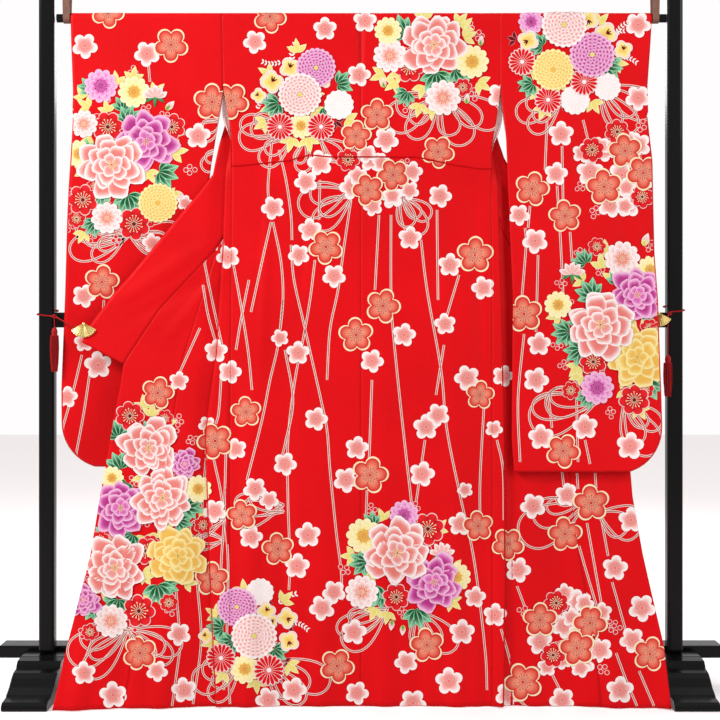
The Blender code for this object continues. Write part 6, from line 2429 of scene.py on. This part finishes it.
@dataclass
class Stand:
    """The lacquered stand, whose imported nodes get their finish."""

    lacquered: tuple[str, ...] = (
        "post_left", "post_right", "foot_left", "foot_right", "mid_rail", "top_rail", "low_bar",
        "rod",
    )
    strapped: tuple[str, ...] = ("strap_left", "strap_right")
    gilded: tuple[str, ...] = ("clip_left", "clip_right")

    def dress(self, nodes: dict[str, bpy.types.Object], finishes: Finishes) -> None:
        """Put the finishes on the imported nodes."""
        for names, material, slot in ((self.lacquered, finishes.lacquer, "lacquer"),
                                      (self.strapped, finishes.hide, "strap"),
                                      (self.gilded, finishes.gilt, "gold")):
            for name in names:
                nodes[name].data.materials.clear()
                nodes[name].data.materials.append(material)
                log.info("%s: %s", name, slot)


@dataclass
class FanClip:
    """A fan clip that holds out a front corner, its cord to the post and its knot."""

    side: HungSide
    out: float
    z: float
    tip: float
    fan_out: float
    fan_z: float
    tie: tuple[float, float, float]
    knot_z: float
    pleats: int = 11
    radius: float = 0.033
    hub: float = 0.0055
    spread: float = 126.0
    rise: float = 0.0008
    sheet: float = 0.0007
    face: float = -0.0040
    cord_radius: float = 0.0020
    post_out: float = 0.7513
    post_half: float = 0.0375 / 2.0
    cord_clear: float = 0.0008
    corner: float = 0.006
    strand: float = 0.00112
    lay: float = 0.0095

    def plane(self, out: Array, z: Array) -> Array:
        """Return the depth of the collar's corner, carried on as a plane.

        Args:
            out: Distances from the centre.
            z: Heights.

        Returns:
            The world depths.
        """
        low, high = self.side.collar[:2]
        corners = ((low[2], low[3]), (low[0] + (low[2] - low[0]) * 2.0 / 3.0,
                                      low[1] + (low[3] - low[1]) * 2.0 / 3.0), (high[2], high[3]))
        rows = []
        for place in corners:
            depth = self.side.spread_depth(np.array(place[0]), np.array(place[1]))
            rows.append(self.side.place_front(np.array(place[0]), depth, np.array(place[1])))
        rows = np.array(rows)
        sums = np.column_stack((np.ones(3), np.abs(rows[:, 0]), rows[:, 2]))
        base, by_out, by_z = np.linalg.solve(sums, rows[:, 1])
        return base + by_out * np.asarray(out) + by_z * np.asarray(z)

    def fan(self, finishes: Finishes) -> bpy.types.Object:
        """Return the pleated fan with its rim, sticks and knob."""
        sign = self.side.sign
        mesh = Mesh("fan_" + self.side.label + "-gilt")
        count = self.pleats * 2

        def place(reach: float, turn: float, lift: float) -> tuple[float, float, float]:
            """Return a point of the fan from its reach, its share of the spread and its lift."""
            angle = math.radians(-90.0 - self.spread / 2.0 + self.spread * turn)
            out = self.fan_out + reach * math.cos(angle)
            z = self.fan_z + reach * math.sin(angle)
            return (sign * out, float(self.plane(out, z)) + self.face + lift, z)

        reaches = np.linspace(self.hub, self.radius, 9)
        points, faces = [], []
        for layer in (-0.5, 0.5):
            for reach in reaches:
                grow = self.rise * (0.35 + 0.65 * (reach - self.hub) / (self.radius - self.hub))
                for step in range(count + 1):
                    scallop = 0.0006 * (step % 2) if reach > self.radius - 1e-6 else 0.0
                    points.append(place(reach + scallop, step / count,
                                        grow * (1 if step % 2 else -1) + layer * self.sheet))
        width = count + 1
        half = len(reaches) * width
        for ring in range(len(reaches) - 1):
            for step in range(count):
                a = ring * width + step
                faces.append((a, a + 1, a + width + 1, a + width))
                faces.append((half + a, half + a + width, half + a + width + 1, half + a + 1))
        rim = list(range(width))
        rim += [ring * width + width - 1 for ring in range(1, len(reaches))]
        rim += [(len(reaches) - 1) * width + step for step in range(width - 2, -1, -1)]
        rim += [ring * width for ring in range(len(reaches) - 2, 0, -1)]
        for a, b in zip(rim, rim[1:] + rim[:1]):
            faces.append((b, a, half + a, half + b))
        mesh.add(points, faces)
        for reach in (self.radius * 0.93, self.radius * 0.42):
            path = [place(reach, step / count, -self.rise * (1 if step % 2 == 0 else 0.2)
                          - self.sheet) for step in range(count + 1)]
            mesh.tube(curve_through(np.array(path), 2), 0.00042, 6)
        hub = place(self.hub * 0.4, 0.5, -0.0012)
        for scale, shift in ((1.0, 0.0), (0.62, -0.0015)):
            ball = []
            for ring in range(9):
                polar = math.pi * ring / 8
                for step in range(16):
                    angle = 2.0 * math.pi * step / 16
                    ball.append((hub[0] + 0.0040 * scale * math.sin(polar) * math.cos(angle),
                                 hub[1] + shift + 0.0021 * scale * math.cos(polar),
                                 hub[2] + 0.0040 * scale * math.sin(polar) * math.sin(angle)))
            mesh.add(ball, ring_quads(9, 16))
        item = mesh.build(finishes.gilt, "gold", smooth_angle=28.0)
        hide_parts("fan_" + self.side.label)
        return item

    def cord_path(self) -> Array:
        """Return the cord's centreline: from the clip to the post and once round it."""
        half = self.post_half + self.cord_radius + self.cord_clear
        near, far, turn = self.post_out - half, self.post_out + half, self.corner
        start = (self.tip + self.cord_radius + 0.0006, float(self.plane(self.tip, self.z)), self.z)
        middle = tuple(a + (b - a) * 0.55 for a, b in zip(start, self.tie))
        turns = (
            (near + turn + 0.004, -half - self.cord_clear, 0.001),
            (self.post_out, -half, 0.002),
            (far - turn, -half, 0.004),
            (far, -half + turn, 0.005),
            (far, half - turn, 0.008),
            (far - turn, half, 0.009),
            (near + turn, half, 0.013),
            (near, half - turn, 0.0145),
            (near, 0.0, 0.0155),
            (near, -half + turn, 0.0150),
        )
        route = [start, middle, self.tie] + [(a, b, self.knot_z + c) for a, b, c in turns]
        route = [(self.side.sign * a, b, c) for a, b, c in route]
        return curve_through(np.array(route), 3)

    def cord(self, finishes: Finishes) -> bpy.types.Object:
        """Return the twisted cord."""
        path = curve_through(self.cord_path(), 3)
        run = np.concatenate(([0.0], np.cumsum(np.linalg.norm(np.diff(path, axis=0), axis=1))))
        even = np.arange(0.0, run[-1], 0.0011)
        line = np.stack([np.interp(even, run, path[:, axis]) for axis in range(3)], -1)
        way = np.gradient(line, axis=0)
        way /= np.linalg.norm(way, axis=1)[:, None]
        mesh = Mesh("cord_" + self.side.label + "-twist")
        up = np.array((0.0, 0.0, 1.0))
        frames = []
        for along in way:
            up = up - along * np.dot(up, along)
            up /= np.linalg.norm(up)
            frames.append((up.copy(), np.cross(along, up)))
        for start in (0.0, math.pi):
            strand = []
            for place, (first, second), length in zip(line, frames, even):
                angle = start + 2.0 * math.pi * length / self.lay
                strand.append(place + (self.cord_radius - self.strand) * (
                    math.cos(angle) * first + math.sin(angle) * second))
            mesh.tube(strand, self.strand, 7)
        item = mesh.build(finishes.thread, "thread")
        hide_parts("cord_" + self.side.label)
        coarse = line[::6]
        if np.linalg.norm(coarse[-1] - line[-1]) > 1e-9:
            coarse = np.vstack((coarse, line[-1]))
        return item

    def knot(self, finishes: Finishes) -> bpy.types.Object:
        """Return the small knot at the post from which the tassel hangs."""
        mesh = Mesh("knot_" + self.side.label)
        middle = np.array((self.side.sign * self.tie[0], self.tie[1] - 0.0012, self.tie[2]))
        turns = np.linspace(0.0, 2.0 * math.pi, 60, endpoint=False)
        loops = np.stack((
            (0.0030 + 0.0013 * np.cos(3.0 * turns)) * np.cos(2.0 * turns),
            0.0016 * np.sin(3.0 * turns),
            (0.0030 + 0.0013 * np.cos(3.0 * turns)) * np.sin(2.0 * turns),
        ), -1)
        mesh.tube(middle + loops, 0.0014, 8, closed=True)
        return mesh.build(finishes.thread, "thread")


@dataclass
class Tassel:
    """A silk tassel: stem, bound head and a close skirt of strands."""

    side: HungSide
    out: float
    depth: float
    stem_top: float
    head_top: float
    foot: float
    strands: int = 120
    stem: float = 0.0012
    head: Rows = (
        (0.0012, 0.0010), (0.0030, 0.0002), (0.0046, -0.0018), (0.0060, -0.0050),
        (0.0068, -0.0085), (0.0069, -0.0115), (0.0062, -0.0138), (0.0056, -0.0150),
        (0.0060, -0.0162), (0.0070, -0.0176), (0.0078, -0.0200), (0.0060, -0.0215),
    )
    skirt_top: float = 0.0180
    seed: int = 11

    def build(self, finishes: Finishes) -> bpy.types.Object:
        """Return the tassel."""
        draw = random.Random(self.seed + self.side.sign)
        mesh = Mesh("tassel_" + self.side.label + "-threads")
        x = self.side.sign * self.out
        stem = [(x, self.depth, self.stem_top), (x, self.depth, self.head_top - 0.001)]
        mesh.tube(np.linspace(stem[0], stem[1], 8), self.stem, 10)
        ribbed, sides = [], 36
        for radius, height in self.head:
            for step in range(sides):
                angle = 2.0 * math.pi * step / sides
                reach = radius * (1.0 + 0.05 * (step % 2))
                ribbed.append((x + reach * math.cos(angle), self.depth + reach * math.sin(angle),
                               self.head_top + height))
        quads = [(a, d, c, b) for a, b, c, d in ring_quads(len(self.head), sides)]
        quads.append(tuple(range(sides)))
        quads.append(tuple((len(self.head) - 1) * sides + step for step in range(sides))[::-1])
        mesh.add(ribbed, quads)
        for turn in range(4):
            ring = np.linspace(0.0, 2.0 * math.pi, 28, endpoint=False)
            height = self.head_top - 0.0138 - 0.0009 * turn
            band = np.stack((x + 0.0063 * np.cos(ring), self.depth + 0.0063 * np.sin(ring),
                             np.full(28, height)), -1)
            mesh.tube(band, 0.00055, 6, closed=True)
        top = self.head_top - self.skirt_top
        for number in range(self.strands):
            share = math.sqrt((number + 0.5) / self.strands)
            angle = number * 2.399963 + draw.uniform(-0.15, 0.15)
            swell = 0.0104 * share
            foot = self.foot + draw.uniform(0.0, 0.0035)
            path = []
            for step in range(9):
                along = step / 8
                reach = swell * (0.68 + 0.32 * math.sin(math.pi * min(1.0, 0.25 + 0.75 * along)))
                reach *= 1.0 + 0.05 * along * draw.uniform(-1.0, 1.0)
                path.append((x + reach * math.cos(angle), self.depth + reach * math.sin(angle),
                             top + (foot - top) * along))
            mesh.tube(path, 0.00062, 5)
        item = mesh.build(finishes.thread, "thread")
        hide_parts("tassel_" + self.side.label)
        return item


CLIPS = (
    FanClip(LEFT, 0.641, 0.856, 0.6580, 0.652, 0.8725, (0.7275, -0.0335, 0.8890), 0.889),
    FanClip(RIGHT, 0.700, 0.885, 0.7228, 0.705, 0.8980, (0.7345, -0.0275, 0.8955), 0.899),
)
TASSELS = (
    Tassel(LEFT, 0.7275, -0.0335, 0.8862, 0.862, 0.757),
    Tassel(RIGHT, 0.7286, -0.0366, 0.8845, 0.797, 0.698),
)


# Camera, lights and floor

@dataclass(frozen=True)
class Lamp:
    """A soft studio lamp."""

    name: str
    place: tuple[float, float, float]
    aim: tuple[float, float, float]
    size: float
    power: float
    colour: tuple[float, float, float] = (1.0, 1.0, 1.0)

    def hang(self) -> None:
        """Put the lamp in the scene."""
        light = bpy.data.lights.new(self.name, "AREA")
        light.shape = "DISK"
        light.size = self.size
        light.energy = self.power
        light.color = self.colour
        item = add_object(self.name, light)
        item.location = self.place
        way = Vector(self.aim) - Vector(self.place)
        item.rotation_euler = way.to_track_quat("-Z", "Y").to_euler()


@dataclass
class Studio:
    """The camera at the photograph's view, a pale floor and soft light."""

    focal_pixels: float = 1333.3
    image_pixels: float = 720.0
    sensor: float = 36.0
    shift_pixels: tuple[float, float] = (-0.8, -15.0)
    floor_colour: tuple[float, float, float] = (0.83, 0.78, 0.78)
    floor_pale: tuple[float, float, float] = (0.9, 0.87, 0.87)
    floor_roughness: float = 0.55
    sky_colour: tuple[float, float, float] = (1.0, 0.985, 0.985)
    sky_strength: float = 1.0
    lamps: tuple[Lamp, ...] = (
        Lamp("key", (-2.9, -1.7, 3.0), (0.1, 0.0, 1.0), 0.9, 160.0, (1.0, 0.985, 0.96)),
        Lamp("fill", (2.6, -2.2, 2.6), (0.0, 0.0, 1.0), 1.8, 60.0, (0.98, 0.99, 1.0)),
        Lamp("back", (0.4, 2.6, 2.7), (0.0, 0.0, 1.0), 2.0, 50.0),
    )

    def set_up(self) -> None:
        """Make the camera, the floor, the surrounding light and the lamps."""
        camera = bpy.data.cameras.new("camera")
        camera.sensor_width = self.sensor
        camera.lens = self.sensor * self.focal_pixels / self.image_pixels
        camera.shift_x = self.shift_pixels[0] / self.image_pixels
        camera.shift_y = self.shift_pixels[1] / self.image_pixels
        eye = add_object("camera", camera)
        eye.location = (0.0, -EYE[0], EYE[1])
        eye.rotation_euler = (math.radians(90.0), 0.0, 0.0)
        bpy.context.scene.camera = eye
        bpy.context.scene.view_settings.view_transform = "Standard"
        world = bpy.data.worlds.new("studio")
        bpy.context.scene.world = world
        world.use_nodes = True
        sky = world.node_tree.nodes["Background"]
        sky.inputs["Color"].default_value = (*self.sky_colour, 1.0)
        sky.inputs["Strength"].default_value = self.sky_strength
        recipe = Recipe("pale-floor")
        colour = recipe.mix(recipe.noise(3.0) * 0.1, self.floor_colour, self.floor_pale)
        recipe.set(Base_Color=colour, Roughness=self.floor_roughness)
        floor = Mesh("floor")
        floor.add(((-9, -9, 0), (9, -9, 0), (9, 9, 0), (-9, 9, 0)), ((0, 1, 2, 3),))
        floor.build(recipe.material, "", ride=False)
        for lamp in self.lamps:
            lamp.hang()


@dataclass(frozen=True)
class Cut:
    """The flat size that a piece of cloth is cut to, in metres."""

    width: float
    length: float
    area: float | None = None

    def declare(self, cloth: bpy.types.Object, rests_on: Sequence[str],
                with_pieces: Sequence[bpy.types.Object] = ()) -> None:
        """Take a hung piece of this cut; nothing is done with it."""


BODY_CUT = Cut(0.32, 3.27)
OKUMI_CUT = Cut(0.16, 1.20, 0.150)
SLEEVE_CUT = Cut(0.36, 2.18)
COLLAR_CUT = Cut(0.11, 2.30)


def main(frame: dict) -> None:
    """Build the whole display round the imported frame."""
    Studio().set_up()
    finishes = Finishes(
        silk=Silk("scarlet-crepe", Dye.SCARLET).make(),
        lining=Silk("blush-lining", Dye.BLUSH, gloss=(1.0, 0.9, 0.9), tone=0.80,
                    figured=False).make(),
        lacquer=Lacquer().make(), gilt=Gilt().make(), thread=Thread().make(), hide=Hide().make(),
    )
    Stand().dress(frame["nodes"], finishes)
    for clip in CLIPS:
        for piece in (clip.cord(finishes), clip.fan(finishes), clip.knot(finishes)):
            log.info("%s", piece.name)
    for tassel in TASSELS:
        log.info("%s", tassel.build(finishes).name)
    printed = Silk("printed-crepe", Dye.WHITE, printed=True).make()
    for side in SIDES:
        body, okumi, sleeve = BodyLength(side), Okumi(side), Sleeve(side)
        left = side is LEFT
        front = FRONT_LEFT_PRINT if left else FRONT_RIGHT_PRINT
        cloth = ClothPiece("body_" + side.label, body.rows(), finishes.silk,
                           finishes.lining).build()
        BODY_CUT.declare(cloth, ("rod",), (PrintedCloth(
            "body_" + side.label, body.grounds(), (BACK_PRINT, front)).build(printed),))
        cloth = ClothPiece("okumi_" + side.label, okumi.rows(), finishes.silk,
                           finishes.lining).build()
        OKUMI_CUT.declare(cloth, ("body_" + side.label,), (PrintedCloth(
            "okumi_" + side.label, okumi.grounds(), (front,)).build(printed),))
        cloth = sleeve.piece("sleeve_" + side.label, finishes.silk, finishes.lining).build()
        SLEEVE_CUT.declare(cloth, ("rod",), (PrintedCloth(
            "sleeve_" + side.label, sleeve.grounds(),
            (SLEEVE_LEFT_PRINT if left else SLEEVE_RIGHT_PRINT,)).build(printed),))
        strip = LiningStrip(side)
        cloth = ClothPiece("lining_" + side.label, strip.rows(), finishes.lining,
                           finishes.lining, 0.0008).build()
        strip.cut().declare(cloth, ("body_" + side.label,))
    cloth = ClothPiece("collar", Collar().rows(), finishes.silk, finishes.lining).build()
    COLLAR_CUT.declare(cloth, ("body_left", "body_right"))


if __name__ == "__main__":
    logging.basicConfig(level=logging.INFO, format="%(message)s")
    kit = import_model()
    main(kit)
